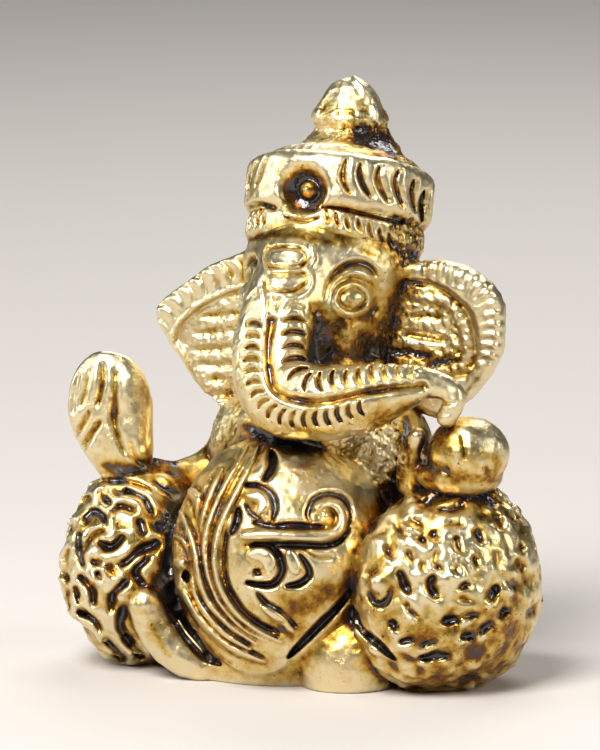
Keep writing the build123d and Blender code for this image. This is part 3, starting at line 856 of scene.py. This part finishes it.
# The scrolls: a bar that curls up at its end, with curls and leaves above and below it.
SCROLL_BAR = [
    (-4.9, 11.6), (-2.9, 11.75), (-0.1, 11.6), (2.1, 11.6), (3.2, 12.1), (3.65, 13.1), (3.2, 14.1),
    (2.3, 14.4), (1.5, 14.0),
]
SCROLL_CURLS = [
    ([(-4.4, 15.0), (-3.5, 15.0), (-3.0, 14.3), (-3.5, 13.6)], 0.75),
    ([(-4.2, 10.0), (-3.2, 10.1), (-2.6, 9.4), (-2.7, 8.7)], 0.95),
    ([(-0.9, 10.3), (-0.6, 9.4), (-0.3, 8.5)], 0.85),
    ([(-3.2, 5.6), (-1.6, 4.6), (-0.6, 3.6)], 0.6),
]
body.strokes(
    ([(-2.4, 18.7), (-2.3, 17.5), (-3.0, 16.3)], 0.6, -0.8),
    ([(-3.9, 12.8), (-2.2, 12.4), (-0.8, 12.5), (0.9, 12.4), (2.0, 12.4)], 0.5, -0.5),
    ([(0.9, 12.6), (0.6, 13.5), (1.2, 14.7), (2.4, 15.1), (3.7, 14.7), (4.3, 13.4), (4.0, 12.3)], 0.45,
     -0.35),
    ([(-4.2, 10.8), (-2.0, 10.85), (-0.1, 10.8), (2.0, 10.75), (3.3, 11.1), (4.2, 12.2)], 0.42, -0.45),
    ([(-4.5, 15.9), (-3.4, 15.8), (-2.4, 15.1), (-2.1, 13.9), (-2.4, 12.8)], 0.5, -0.6),
    ([(-4.6, 14.3), (-4.1, 13.5), (-3.1, 12.9)], 0.32, -0.4),
    ([(-5.2, 13.9), (-5.3, 12.9), (-5.8, 11.8)], 0.5, -0.7),
    ([(-3.8, 10.9), (-2.4, 10.6), (-1.7, 9.7), (-1.5, 8.6), (-2.2, 7.6), (-3.4, 7.5), (-4.5, 7.7)], 0.5,
     -0.75),
    ([(0.0, 10.0), (0.5, 9.3), (0.8, 8.4), (0.0, 7.6), (-1.2, 7.4)], 0.45, -0.6),
    ([(-3.7, 6.9), (-2.9, 6.0), (-1.5, 4.8), (-0.4, 4.0)], 0.45, -0.45),
    ([(0.0, 10.6), (1.3, 9.9), (2.8, 9.8)], 0.3, -0.25),
)
for drawn, radius in SCROLL_CURLS:
    body.stroke(drawn, radius, 0.3, flat=0.25)
body.stroke([(-3.9, 8.7), (-3.3, 8.4)], 0.45, -0.5)
body.stroke(SCROLL_BAR, 0.62, 0.5, flat=0.25, taper=False)
body.stroke([(1.9, 13.3), (2.4, 13.4)], 0.65, 0.45)

sash_area = Drawing(9.0)
SASH = [
    (-3.4, 19.8), (-4.6, 16.4), (-5.9, 13.7), (-6.5, 11.5), (-6.7, 9.4), (-6.2, 7.2), (-5.1, 5.3),
    (-3.3, 3.8), (-1.2, 2.9), (-1.6, 0.4), (-5.2, 0.4), (-9.0, 4.0), (-11.4, 9.0), (-11.6, 13.0),
    (-10.4, 16.6), (-7.0, 18.4), (-5.0, 20.4),
]
slices, u, v = sash_area.window(np.array((-13, -1)), np.array((0, 22)))
sash_area.values[slices] = gap_to_outline(SASH, u, v)
sheet("sash", ["belly", "torso", "hips"], sash_area, 0.12)
scroll_area = Drawing(9.0)
for drawn, radius in [(SCROLL_BAR, 0.6)] + SCROLL_CURLS:
    scroll_area.stroke(drawn, radius * 2, -radius, flat=0.0)
scroll_area.values[:] = np.where(scroll_area.values > 8.9, 9.0, scroll_area.values * 0.12)
sheet("belly_scrolls", ["belly"], scroll_area, 0.12)
body.values *= 1.15
body.soften(0.07)
for node in ("belly", "torso", "hips", "sash", "belly_scrolls"):
    clay[node].carve(body)

# Knees: curling folds of cloth on the right, short pits on the left ---------------------


def worms(shape, size):
    """A maze of winding ridges, each about size across, as 0 on ridges and 1 between."""
    noise = RNG.standard_normal(shape).astype(np.float32)
    waves = blurred(noise, size * 0.33) - blurred(noise, size * 0.62)
    waves /= waves.std()
    return 1 / (1 + np.exp(3.0 * (waves + 0.2)))


knees = Drawing()
for worm, radius in (
    ([(-15.9, 13.8), (-15.0, 14.1), (-14.2, 13.8)], 0.6),
    ([(-18.1, 13.0), (-17.4, 13.7), (-16.6, 13.2), (-16.3, 12.1)], 0.45),
    ([(-18.1, 10.5), (-17.5, 11.5), (-16.6, 12.0)], 0.45),
    ([(-16.9, 11.0), (-15.8, 10.7), (-15.0, 11.5)], 0.5),
    ([(-17.5, 9.4), (-16.1, 9.2), (-14.9, 9.3), (-13.6, 10.3), (-12.2, 11.0)], 0.6),
    ([(-17.1, 8.5), (-16.8, 8.0)], 0.4),
    ([(-16.1, 9.1), (-15.7, 8.4)], 0.45),
    ([(-18.5, 8.1), (-17.6, 7.2), (-17.4, 5.9)], 0.5),
    ([(-19.0, 7.2), (-18.6, 6.0)], 0.4),
    ([(-14.9, 7.6), (-15.8, 6.6), (-15.9, 5.4)], 0.6),
    ([(-18.6, 5.2), (-17.4, 4.6), (-16.8, 3.6)], 0.5),
    ([(-20.1, 8.7), (-19.6, 8.0)], 0.4),
    ([(-14.9, 5.4), (-15.2, 4.0), (-14.2, 2.4), (-13.4, 1.6)], 0.6),
    ([(-13.5, 12.8), (-13.3, 12.0)], 0.6),
    ([(-18.7, 11.7), (-18.6, 10.2), (-18.3, 9.2)], 0.4),
    ([(-16.9, 15.3), (-16.2, 14.5)], 0.5),
    ([(-19.6, 13.1), (-19.4, 12.1)], 0.4),
    ([(-18.4, 15.6), (-16.8, 16.3), (-14.7, 16.2), (-12.6, 15.5)], 0.4),
    ([(-14.6, 15.4), (-13.2, 14.8), (-12.6, 13.6)], 0.45),
    ([(-17.8, 14.9), (-18.6, 14.3), (-19.0, 13.6)], 0.35),
    ([(-16.4, 2.9), (-15.6, 2.0), (-14.9, 1.2)], 0.5),
    ([(-19.6, 10.4), (-19.9, 9.6)], 0.35),
    ([(-19.6, 6.9), (-19.5, 5.6)], 0.35),
    ([(-13.0, 9.6), (-13.9, 8.6), (-13.3, 7.6)], 0.45),
):
    knees.stroke(worm, radius * 2.4, 0.25, flat=0.1, taper=False)
    knees.stroke(worm, radius, -0.5, flat=0.0, taper=False)
for pit, radius, level in (
    ([(10.9, 14.4), (10.0, 13.7)], 0.45, -0.35),
    ([(11.8, 13.8), (12.9, 13.7), (13.8, 14.3)], 0.35, -0.35),
    ([(12.4, 12.6), (13.8, 12.6)], 0.4, -0.35),
    ([(14.9, 12.1), (15.2, 11.0)], 0.45, -0.5),
    ([(13.1, 11.6), (13.4, 10.4)], 0.42, -0.5),
    ([(14.7, 9.9), (14.9, 9.0)], 0.38, -0.45),
    ([(11.6, 10.4), (11.3, 9.4), (12.0, 8.7)], 0.45, -0.5),
    ([(9.1, 10.4), (9.5, 9.4)], 0.45, -0.5),
    ([(8.4, 8.6), (8.7, 7.7), (9.2, 6.8)], 0.55, -0.6),
    ([(11.3, 8.2), (10.9, 7.4), (11.6, 6.4)], 0.75, -0.6),
    ([(9.0, 6.0), (9.3, 5.3), (9.9, 4.8)], 0.48, -0.55),
    ([(13.4, 7.2), (14.3, 7.5)], 0.4, -0.45),
    ([(13.5, 6.4), (14.5, 6.2)], 0.36, -0.4),
    ([(12.1, 4.4), (13.3, 4.6)], 0.45, -0.45),
    ([(13.8, 4.8), (14.9, 5.0)], 0.4, -0.4),
    ([(8.4, 2.6), (9.5, 2.9)], 0.42, -0.45),
    ([(10.3, 2.3), (11.6, 2.8)], 0.45, -0.45),
    ([(17.4, 13.6), (18.3, 12.9)], 0.45, -0.45),
    ([(18.6, 10.9), (18.8, 10.2)], 0.4, -0.4),
    ([(18.3, 9.6), (18.6, 8.8)], 0.4, -0.4),
    ([(17.9, 8.0), (18.0, 7.1)], 0.4, -0.4),
    ([(16.6, 13.3), (16.9, 12.2)], 0.4, -0.4),
    ([(12.6, 15.4), (14.5, 15.6)], 0.42, -0.35),
    ([(10.0, 11.4), (10.9, 10.8)], 0.45, -0.45),
    ([(10.2, 1.3), (12.7, 1.5)], 0.5, -0.4),
    ([(16.6, 10.4), (16.5, 9.0)], 0.35, -0.3),
    ([(16.4, 7.2), (16.0, 6.0)], 0.38, -0.35),
    ([(16.2, 4.2), (15.2, 3.4)], 0.42, -0.4),
    ([(17.4, 5.6), (16.9, 4.6)], 0.36, -0.35),
    ([(13.6, 3.0), (14.6, 3.2)], 0.4, -0.4),
    ([(10.4, 9.6), (10.3, 8.6)], 0.35, -0.35),
    ([(8.3, 12.3), (8.8, 11.5)], 0.4, -0.35),
    ([(9.3, 13.0), (10.1, 12.4)], 0.4, -0.35),
    ([(7.3, 10.6), (7.7, 9.8)], 0.4, -0.35),
    ([(11.4, 12.0), (11.2, 11.2)], 0.4, -0.4),
    ([(15.6, 14.6), (16.4, 14.3)], 0.4, -0.35),
    ([(7.7, 4.4), (8.1, 3.7)], 0.35, -0.35),
    ([(12.9, 9.0), (13.4, 8.4)], 0.3, -0.3),
):
    lip = [(u - 0.15, v - 0.5) for u, v in pit]
    knees.stroke(pit, radius * 2.3, -0.2, flat=0.0)
    knees.stroke(lip, radius * 1.4, 0.2, flat=0.0)
    knees.stroke(pit, radius * RNG.uniform(0.95, 1.3), level, flat=0.0)
knees.stroke([(5.8, 6.9), (6.1, 6.2), (6.8, 5.8), (7.5, 6.3), (7.7, 7.2)], 0.4, -0.4)


def pits(piece, count):
    """Presses pits, longer than wide, into the side of the left leg that is turned away."""
    golden = math.pi * (3 - math.sqrt(5))
    for i in range(count):
        height = 1 - 2 * (i + 0.5) / count
        turn = golden * i
        spread = math.sqrt(1 - height * height)
        out = np.array((spread * math.cos(turn), spread * math.sin(turn), height))
        out += RNG.normal(0, 0.05, 3)
        out /= np.linalg.norm(out)
        spot = np.array(LEG_CENTRE) + out * LEG_HALF
        if out @ TO_VIEWER > 0.25 or spot[2] < 0.8:
            continue
        side = np.cross(out, (0.0, 0.0, 1.0))
        side /= max(np.linalg.norm(side), 1e-6)
        lean = 1.2 + 0.9 * math.sin(spot[2] * 0.55 + spot[1] * 0.35) + RNG.normal(0, 0.35)
        way = np.cross(side, out) * math.sin(lean) + side * math.cos(lean)
        long = RNG.uniform(0.45, 0.85)
        middle = spot + np.cross(out, way) * RNG.uniform(-0.25, 0.25)
        points = np.array([spot - way * long, middle, spot + way * long])
        piece.tube(tapered(points, RNG.uniform(0.32, 0.5)), soft=0.25, cut=True)


right_leg, left_leg = clay["right_leg"], clay["left_leg"]
turned_away = 1 - right_leg.facing()
right_leg.field += (0.28 + 0.32 * turned_away) * worms(right_leg.field.shape, 1.9)
pits(left_leg, 260)
left_leg.field += 0.2 * lumps(left_leg.field.shape, 2.6) + 0.05 * lumps(left_leg.field.shape, 1.2)
right_leg.field += 0.2 * lumps(right_leg.field.shape, 2.2)
knees.values *= 1.25
knees.soften(0.1)
for leg in (right_leg, left_leg):
    leg.carve(knees)
left_leg.ellipsoid(sight([left_leg], [(6.7, 7.7)])[0], (0.75, 0.75, 0.8), soft=0.3)

feet = Drawing()
feet.stroke([(-11.9, 7.2), (-10.8, 5.4), (-9.7, 3.5), (-8.4, 1.8), (-6.8, 0.8)], 0.75, -0.45, flat=0.4)
feet.stroke([(-11.7, 7.0), (-10.6, 5.3), (-9.5, 3.4), (-8.2, 1.8)], 0.4, 0.25)
feet.stroke([(4.3, 7.0), (3.2, 5.6), (1.7, 4.1), (0.2, 2.6), (-1.0, 1.4)], 0.55, -0.75, flat=0.1)
feet.stroke([(4.4, 5.6), (5.2, 3.8), (6.6, 2.5), (8.0, 1.2)], 0.5, -0.6, flat=0.1)
for node in ("right_foot", "hips", "belly", "sash", "left_foot", "left_leg"):
    clay[node].carve(feet)

# One casting --------------------------------------------------------------------------

nearest = np.full(GRID_SHAPE, FAR, np.float32)
second = np.full(GRID_SHAPE, FAR, np.float32)
casting = np.full(GRID_SHAPE, FAR, np.float32)
for piece in clay.values():
    here = piece.slices
    second[here] = np.minimum(second[here], np.maximum(nearest[here], piece.field))
    nearest[here] = np.minimum(nearest[here], piece.field)
    casting[here] = smaller(casting[here], piece.field, SEAM)

# The skin is a little uneven all over, and grainy where the chaser's tools didn't reach.
axes = [(GRID_LOW[i] + VOXEL * np.arange(GRID_SHAPE[i])).astype(np.float32) for i in range(3)]
X, Y, Z = np.meshgrid(*axes, indexing="ij", sparse=True)
GRAINY = [  # centre, radius and strength
    ((-9.0, 3.5, 20.5), 4.0, 1.0),
    ((7.4, 6.0, 36.0), 3.0, 1.0),
    ((0, 9.0, 43.6), 6.0, 1.0),
    ((0, 9.5, 12.0), 8.0, 0.5),
    ((0, 10.5, 30.0), 7.0, 0.6),
]
grain = Drawing()
grain.patch([(0.6, 19.3), (4.5, 20.2), (8.6, 21.6), (9.2, 18.0), (7.4, 15.4), (5.4, 17.6), (3.0, 18.8)], 1.0,
            1.2)
grain.patch([(1.0, 31.0), (2.6, 29.8), (4.6, 29.6), (6.3, 28.8), (6.3, 26.6), (1.3, 26.4)], 0.3, 1.2)
grain.patch([(6.4, 27.0), (6.8, 29.6), (8.8, 32.8), (11.4, 32.4), (13.6, 31.0), (14.5, 28.4), (14.4, 25.8),
             (9.4, 25.6)], 0.8, 0.8)
grain.patch([(-10.4, 29.0), (-7.4, 31.0), (-5.0, 31.6), (-5.0, 20.0), (-7.6, 19.6), (-7.6, 22.4)], 0.6, 1.2)
grain.patch([(7.6, 38.6), (10.0, 38.4), (9.8, 35.0), (8.0, 34.4)], 0.9, 0.8)
grain_share = grain.seen(X, Y, Z)
for centre, radius, strength in GRAINY:
    gap = np.sqrt((X - centre[0]) ** 2 + (Y - centre[1]) ** 2 + (Z - centre[2]) ** 2) / radius
    grain_share = np.maximum(grain_share, strength * np.clip(1.6 - 1.4 * gap, 0, 1))
casting += 0.06 * lumps(GRID_SHAPE, 3.0) + 0.022 * lumps(GRID_SHAPE, 0.9)
casting += grain_share * 0.09 * lumps(GRID_SHAPE, 0.5)
casting = np.maximum(casting, -Z)

# How sunk each place is, at four widths, tells where the dark patina stays. These values
# are below 0 in hollows.
HOLLOW_WIDTHS = {"fine_hollow": 0.18, "hollow": 0.42, "broad_hollow": 1.0, "deep_hollow": 2.0}
hollows = {name: hollow_at(width) for name, width in HOLLOW_WIDTHS.items()}

# The patina is also thicker in some parts than in others, and this drawing paints light and shade besides:
# its strokes and darker patches give thicker patina together with painted shade in creases, under things and
# between parts, and some lighter patches are painted light on places the lamps leave darker. This drawing
# goes right through the figure along the lines of sight, so the back has a share of it too.
patina_and_painted_shading = Drawing()
# These strokes darken creases under the trunk, the arms, the hands and the crown, beside the ears and between
# the belly, feet and legs: thicker patina and painted shade together.
for drawn, radius, level in (
    ([(-4.6, 21.0), (-3.0, 19.9), (0.0, 19.2), (3.4, 19.4)], 0.7, 0.9),
    ([(-1.6, 21.2), (1.0, 20.5), (4.2, 21.0), (7.6, 22.0), (9.8, 23.0)], 0.7, 0.7),
    ([(9.0, 21.6), (8.9, 19.0), (8.6, 17.0), (7.2, 14.6)], 0.9, 0.9),
    ([(5.0, 8.7), (3.4, 6.3), (0.6, 3.2), (-0.8, 1.8)], 0.5, 0.5),
    ([(-11.0, 18.4), (-10.6, 16.6), (-11.0, 14.2), (-11.6, 12.0), (-11.4, 9.4), (-11.0, 7.2)], 1.1, 0.9),
    ([(-10.8, 7.0), (-9.4, 4.2), (-7.8, 2.1), (-5.8, 0.8)], 0.5, 0.8),
    ([(-13.3, 6.2), (-12.6, 3.8), (-11.0, 1.4)], 0.6, 0.8),
    ([(-16.6, 17.6), (-14.6, 17.4), (-12.4, 17.8), (-11.0, 18.0)], 0.8, 0.8),
    ([(9.4, 17.2), (12.0, 16.5), (14.8, 16.6), (17.2, 16.2)], 0.6, 0.9),
    ([(7.4, 6.2), (7.6, 3.6), (8.0, 1.0), (8.4, 0.0)], 0.6, 0.7),
    ([(4.4, 27.4), (5.2, 28.0), (5.6, 27.2)], 0.9, 0.9),
    ([(6.6, 27.0), (8.6, 27.2), (11.0, 26.8), (13.4, 26.4)], 0.9, 0.7),
    ([(9.2, 33.8), (7.9, 31.6), (6.9, 29.4), (6.6, 27.4)], 0.6, 0.5),
    ([(4.4, 46.0), (5.4, 45.4), (6.8, 44.6), (8.0, 43.6)], 0.9, 0.8),
    ([(-4.2, 36.6), (-2.2, 37.0), (0.8, 36.7), (4.2, 35.9), (6.7, 35.2)], 0.4, 0.6),
    ([(7.0, 37.4), (8.4, 38.2)], 0.8, 0.7),
):
    patina_and_painted_shading.stroke(drawn, radius * 1.5, level * 0.75, flat=0.0)
# A darker patch on the low front of the left leg: thicker patina and painted shade together.
patina_and_painted_shading.patch([(8.6, 4.8), (13.0, 4.6), (18.0, 6.4), (18.8, 1.0), (15.0, -1.5), (8.6, -1.5)], 0.5, 3.0)
for pad in PADS:
    patina_and_painted_shading.stroke(pad + pad[:1], 0.42, 0.9, flat=0.0, taper=False)
# The lower belly and the jewel's cup are darkened too: thicker patina and painted shade together.
patina_and_painted_shading.patch([(-2.8, 6.8), (0.2, 7.2), (3.0, 6.2), (0.6, 3.6), (-2.4, 4.0)], 0.3, 1.5)
patina_and_painted_shading.patch([(-1.6, 42.4), (0.2, 43.2), (1.9, 42.2), (2.0, 40.0), (0.2, 39.2), (-1.4, 40.0)], 0.3, 0.9)
# Patches with a level below 0 lighten: on the chest in the trunk's shadow, the top of the belly, the forehead
# and the dome this is painted light; they also lighten the ears and a middle part of the belly. Patches above
# 0 darken the cheeks, an eye, the left hand, the legs, the sash, the jewel, the trunk's underside and the
# lower belly with thicker patina and painted shade.
for outline, level in (
    ([(-1.6, 45.6), (0.6, 46.6), (3.6, 46.4), (4.0, 45.0), (1.6, 44.2), (-1.6, 44.6)], -0.9),
    ([(-3.6, 36.2), (2.4, 36.2), (5.2, 35.4), (3.0, 34.4), (1.6, 32.8), (-0.2, 30.0), (-3.4, 30.4)], -0.45),
    ([(1.4, 19.4), (5.6, 20.4), (8.0, 20.2), (7.4, 16.6), (5.2, 14.6), (4.6, 17.6)], -1.2),
    ([(-2.6, 17.6), (0.6, 18.6), (3.6, 17.6), (4.4, 15.6), (-1.4, 15.6)], -0.5),
    ([(0.8, 31.4), (3.2, 30.6), (6.0, 30.2), (6.8, 27.6), (6.2, 26.0), (1.0, 26.0)], 0.42),
    ([(10.4, 20.6), (12.6, 20.8), (14.2, 19.2), (17.4, 18.4), (17.0, 16.2), (10.4, 16.4)], 0.6),
    ([(6.2, 11.0), (8.2, 8.4), (9.0, 4.4), (9.4, 1.0), (7.0, 1.6), (6.0, 5.0)], 0.35),
    ([(-1.2, 41.9), (0.2, 42.6), (1.6, 41.8), (1.6, 40.4), (0.2, 39.8), (-1.2, 40.4)], 0.55),
    ([(3.0, 31.2), (3.6, 32.2), (5.0, 32.3), (5.6, 31.4), (4.8, 30.8), (3.6, 30.8)], 0.3),
    ([(-5.0, 17.0), (-9.0, 15.0), (-10.6, 10.0), (-7.0, 3.0), (-3.0, 1.4), (-6.6, 8.0), (-6.4, 13.0)], 0.25),
    ([(-19.0, 14.0), (-15.0, 15.6), (-12.2, 12.0), (-13.0, 4.0), (-16.0, 0.6), (-19.6, 6.0)], 0.25),
    ([(0.0, 22.6), (4.0, 23.2), (8.4, 24.0), (8.8, 22.6), (4.6, 21.0), (0.0, 20.8)], 0.4),
    ([(-2.6, 6.8), (0.0, 7.8), (3.4, 7.8), (3.0, 5.6), (0.6, 3.0), (-1.8, 2.8)], 0.45),
    ([(-5.4, 19.0), (-9.0, 21.0), (-9.6, 24.4), (-11.0, 30.4), (-5.0, 33.0), (-5.0, 24.0)], -0.4),
    ([(7.6, 27.6), (8.8, 32.4), (12.4, 32.6), (14.4, 30.0), (14.4, 27.0), (11.0, 27.2)], -0.35),
    ([(3.6, 15.0), (6.4, 12.4), (5.2, 8.6), (3.4, 7.6), (1.6, 9.2), (4.6, 12.0)], -0.45),
):
    patina_and_painted_shading.patch(outline, level, edge=1.4)
# Thicker patina, painted shade and painted light at every place of the grid.
patina_and_painted_shading_share = patina_and_painted_shading.seen(X, Y, Z)


def own_mesh(piece):
    """A closed mesh of one piece, cut out of the casting along its seams."""
    here = piece.slices
    others = np.where(piece.field <= nearest[here], second[here], nearest[here])
    beyond = piece.field - others
    own = np.maximum(casting[here] + np.maximum(beyond, 0) * SINK, (beyond - UNDERLAP) * 0.7)
    own[[0, -1]] = FAR
    own[:, [0, -1]] = FAR
    own[:, :, [0, -1]] = FAR
    grid = openvdb.FloatGrid(FAR)
    grid.copyFromArray(np.ascontiguousarray(own, np.float32))
    points, quads = grid.convertToQuads(0.0)
    return points * VOXEL + piece.low, quads


def make_piece(node):
    """The visible mesh of one node, with what its patina and its painted light and shade need at every
    vertex.
    """
    points, quads = own_mesh(clay[node])
    mesh = bpy.data.meshes.new(f"{node}_casting")
    mesh.from_pydata((points * MM).tolist(), [], quads.tolist())
    mesh.update()
    mesh.shade_smooth()
    for name, field in {**hollows, "grain": grain_share, "patina_and_painted_shading": patina_and_painted_shading_share}.items():
        attribute = mesh.attributes.new(name, "FLOAT", "POINT")
        attribute.data.foreach_set("value", sample(field, GRID_LOW, points).astype(np.float32))
    piece = bpy.data.objects.new(f"{node}_casting", mesh)
    bpy.context.scene.collection.objects.link(piece)
    piece.data.materials.append(BRASS)
    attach(piece, "root")
    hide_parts(node)


# Material -----------------------------------------------------------------------------


def brass_material():
    """Polished brass with amber edges to a glossy, nearly black patina, and with painted light and shade from
    the drawn attribute.
    """
    material = bpy.data.materials.new("antiqued_brass")
    material.use_nodes = True
    nodes, links = material.node_tree.nodes, material.node_tree.links
    shader = nodes["Principled BSDF"]
    place = nodes.new("ShaderNodeTexCoord")

    def attribute(name):
        node = nodes.new("ShaderNodeAttribute")
        node.attribute_name = name
        return node.outputs["Fac"]

    def maths(operation, a, b=0.0):
        node = nodes.new("ShaderNodeMath")
        node.operation = operation
        for socket, value in zip(node.inputs, (a, b)):
            if isinstance(value, (int, float)):
                socket.default_value = value
            else:
                links.new(value, socket)
        return node.outputs[0]

    def total(*terms):
        result = terms[0]
        for term in terms[1:]:
            result = maths("ADD", result, term)
        return result

    def noise(scale, detail, roughness=0.6):
        node = nodes.new("ShaderNodeTexNoise")
        node.inputs["Scale"].default_value = scale
        node.inputs["Detail"].default_value = detail
        node.inputs["Roughness"].default_value = roughness
        links.new(place.outputs["Object"], node.inputs["Vector"])
        return node.outputs["Fac"]

    def spread(value, low, high, to_low=0.0, to_high=1.0):
        node = nodes.new("ShaderNodeMapRange")
        node.interpolation_type = "SMOOTHSTEP"
        for name, number in (("From Min", low), ("From Max", high), ("To Min", to_low), ("To Max", to_high)):
            node.inputs[name].default_value = number
        links.new(value, node.inputs["Value"])
        return node.outputs["Result"]

    def ramp(value, stops):
        node = nodes.new("ShaderNodeValToRGB")
        elements = node.color_ramp.elements
        while len(elements) < len(stops):
            elements.new(0.5)
        for element, (position, colour) in zip(elements, stops):
            element.position = position
            element.color = (*colour, 1)
        links.new(value, node.inputs["Fac"])
        return node.outputs["Color"]

    patchy = spread(noise(520, 3), 0.36, 0.64, 0.42, 1.15)
    creased = total(
        maths("MULTIPLY", attribute("fine_hollow"), -2.4),
        maths("MULTIPLY", attribute("hollow"), -2.5),
        maths("MULTIPLY", attribute("broad_hollow"), -1.0),
    )
    speckle = maths("MULTIPLY", spread(noise(1500, 3, 0.75), 0.42, 0.66), attribute("grain"))
    # The drawn share in this sum brings thicker patina together with painted shade and painted light.
    patina_and_painted_shading_sum = total(
        maths("MULTIPLY", creased, patchy),
        maths("MULTIPLY", attribute("deep_hollow"), -0.3),
        maths("MULTIPLY", maths("SUBTRACT", noise(420, 5), 0.5), 0.8),
        maths("MULTIPLY", maths("SUBTRACT", noise(1250, 4, 0.7), 0.5), 1.1),
        maths("MULTIPLY", spread(noise(2100, 3, 0.7), 0.62, 0.72), 0.7),
        maths("MULTIPLY", speckle, 0.8),
        maths("MULTIPLY", attribute("grain"), 0.2),
        maths("MULTIPLY", attribute("patina_and_painted_shading"), spread(noise(650, 4), 0.25, 0.65, 0.75, 1.35)),
    )
    # This mix of patina, painted shade and painted light sets the colour, the metal, the roughness and the
    # bump below.
    patina_with_painted_shading = spread(patina_and_painted_shading_sum, -0.75, 1.3)
    colour = ramp(
        patina_with_painted_shading,
        [
            (0.0, (0.80, 0.69, 0.43)),
            (0.20, (0.68, 0.52, 0.21)),
            (0.38, (0.52, 0.34, 0.07)),
            (0.55, (0.30, 0.14, 0.02)),
            (0.72, (0.09, 0.03, 0.008)),
            (0.86, (0.012, 0.009, 0.009)),
        ],
    )
    links.new(colour, shader.inputs["Base Color"])
    links.new(spread(patina_with_painted_shading, 0.6, 0.85, 1.0, 0.1), shader.inputs["Metallic"])
    shader.inputs["Specular IOR Level"].default_value = 0.9
    rough = total(spread(noise(700, 4), 0.3, 0.7, 0.3, 0.44), maths("MULTIPLY", attribute("grain"), 0.06))
    links.new(maths("SUBTRACT", rough, spread(patina_with_painted_shading, 0.5, 0.85, 0.0, 0.22)), shader.inputs["Roughness"])

    pitted = maths("MULTIPLY", spread(noise(1400, 4, 0.7), 0.56, 0.72), -0.6)
    scratchy = maths("MULTIPLY", noise(2600, 3, 0.7), 0.4)
    crusty = maths("MULTIPLY", maths("MULTIPLY", noise(1700, 2), patina_with_painted_shading), 0.9)
    bump = nodes.new("ShaderNodeBump")
    bump.inputs["Strength"].default_value = 0.45
    bump.inputs["Distance"].default_value = 0.00008
    links.new(total(pitted, scratchy, crusty), bump.inputs["Height"])
    links.new(bump.outputs["Normal"], shader.inputs["Normal"])
    return material


BRASS = brass_material()
for node in NODES:
    make_piece(node)

# Floor, light and camera --------------------------------------------------------------


def floor_and_backdrop():
    """A pale floor that sweeps up slowly behind the figure."""
    radius = 2.4
    sweep = [(0.08 + radius * math.sin(t), radius - radius * math.cos(t)) for t in np.linspace(0, 1.3, 60)]
    profile = [(-0.8, 0)] + sweep
    points = [(x, y, z) for x in (-1.6, 1.6) for y, z in profile]
    count = len(profile)
    faces = [(i, i + 1, count + i + 1, count + i) for i in range(count - 1)]
    mesh = bpy.data.meshes.new("backdrop")
    mesh.from_pydata(points, [], faces)
    mesh.shade_smooth()
    material = bpy.data.materials.new("pale_floor")
    material.use_nodes = True
    shader = material.node_tree.nodes["Principled BSDF"]
    shader.inputs["Base Color"].default_value = (0.6, 0.56, 0.53, 1)
    shader.inputs["Roughness"].default_value = 0.8
    mesh.materials.append(material)
    backdrop = bpy.data.objects.new("backdrop", mesh)
    backdrop.rotation_euler = (0, 0, AZIMUTH)
    bpy.context.scene.collection.objects.link(backdrop)


def softbox(name, azimuth, elevation, distance, size, power, colour):
    """A square softbox that looks at the middle of the figure."""
    light = bpy.data.lights.new(name, "AREA")
    light.shape = "RECTANGLE"
    light.size, light.size_y = size
    light.energy = power
    light.color = colour
    lamp = bpy.data.objects.new(name, light)
    turn, rise = math.radians(azimuth), math.radians(elevation)
    way = Vector((math.sin(turn) * math.cos(rise), -math.cos(turn) * math.cos(rise), math.sin(rise)))
    lamp.location = Vector((0, 0, 0.025)) + way * distance
    lamp.rotation_euler = way.to_track_quat("Z", "Y").to_euler()
    bpy.context.scene.collection.objects.link(lamp)


def world_light():
    """A dim grey room."""
    world = bpy.data.worlds.new("room")
    world.use_nodes = True
    background = world.node_tree.nodes["Background"]
    background.inputs["Color"].default_value = (0.5, 0.56, 0.62, 1)
    background.inputs["Strength"].default_value = 0.09
    bpy.context.scene.world = world


def camera():
    """The camera, at the viewer's place."""
    data = bpy.data.cameras.new("camera")
    data.lens = 199
    data.sensor_width = 36
    data.clip_start = 0.01
    data.clip_end = 10
    viewer = bpy.data.objects.new("camera", data)
    viewer.location = VIEWER * MM
    viewer.rotation_euler = Vector(TO_VIEWER).to_track_quat("Z", "Y").to_euler()
    bpy.context.scene.collection.objects.link(viewer)
    bpy.context.scene.camera = viewer


floor_and_backdrop()
softbox("key", -8, 48, 0.5, (0.22, 0.3), 4.2, (1.0, 0.98, 0.95))
softbox("left_fill", -75, 20, 0.5, (0.2, 0.3), 0.75, (0.92, 0.96, 1.0))
softbox("right_fill", 95, 25, 0.5, (0.16, 0.28), 0.8, (1.0, 0.97, 0.92))
softbox("rim", 190, 45, 0.5, (0.3, 0.2), 1.1, (1.0, 1.0, 1.0))
world_light()
camera()
bpy.context.scene.view_settings.view_transform = "Standard"
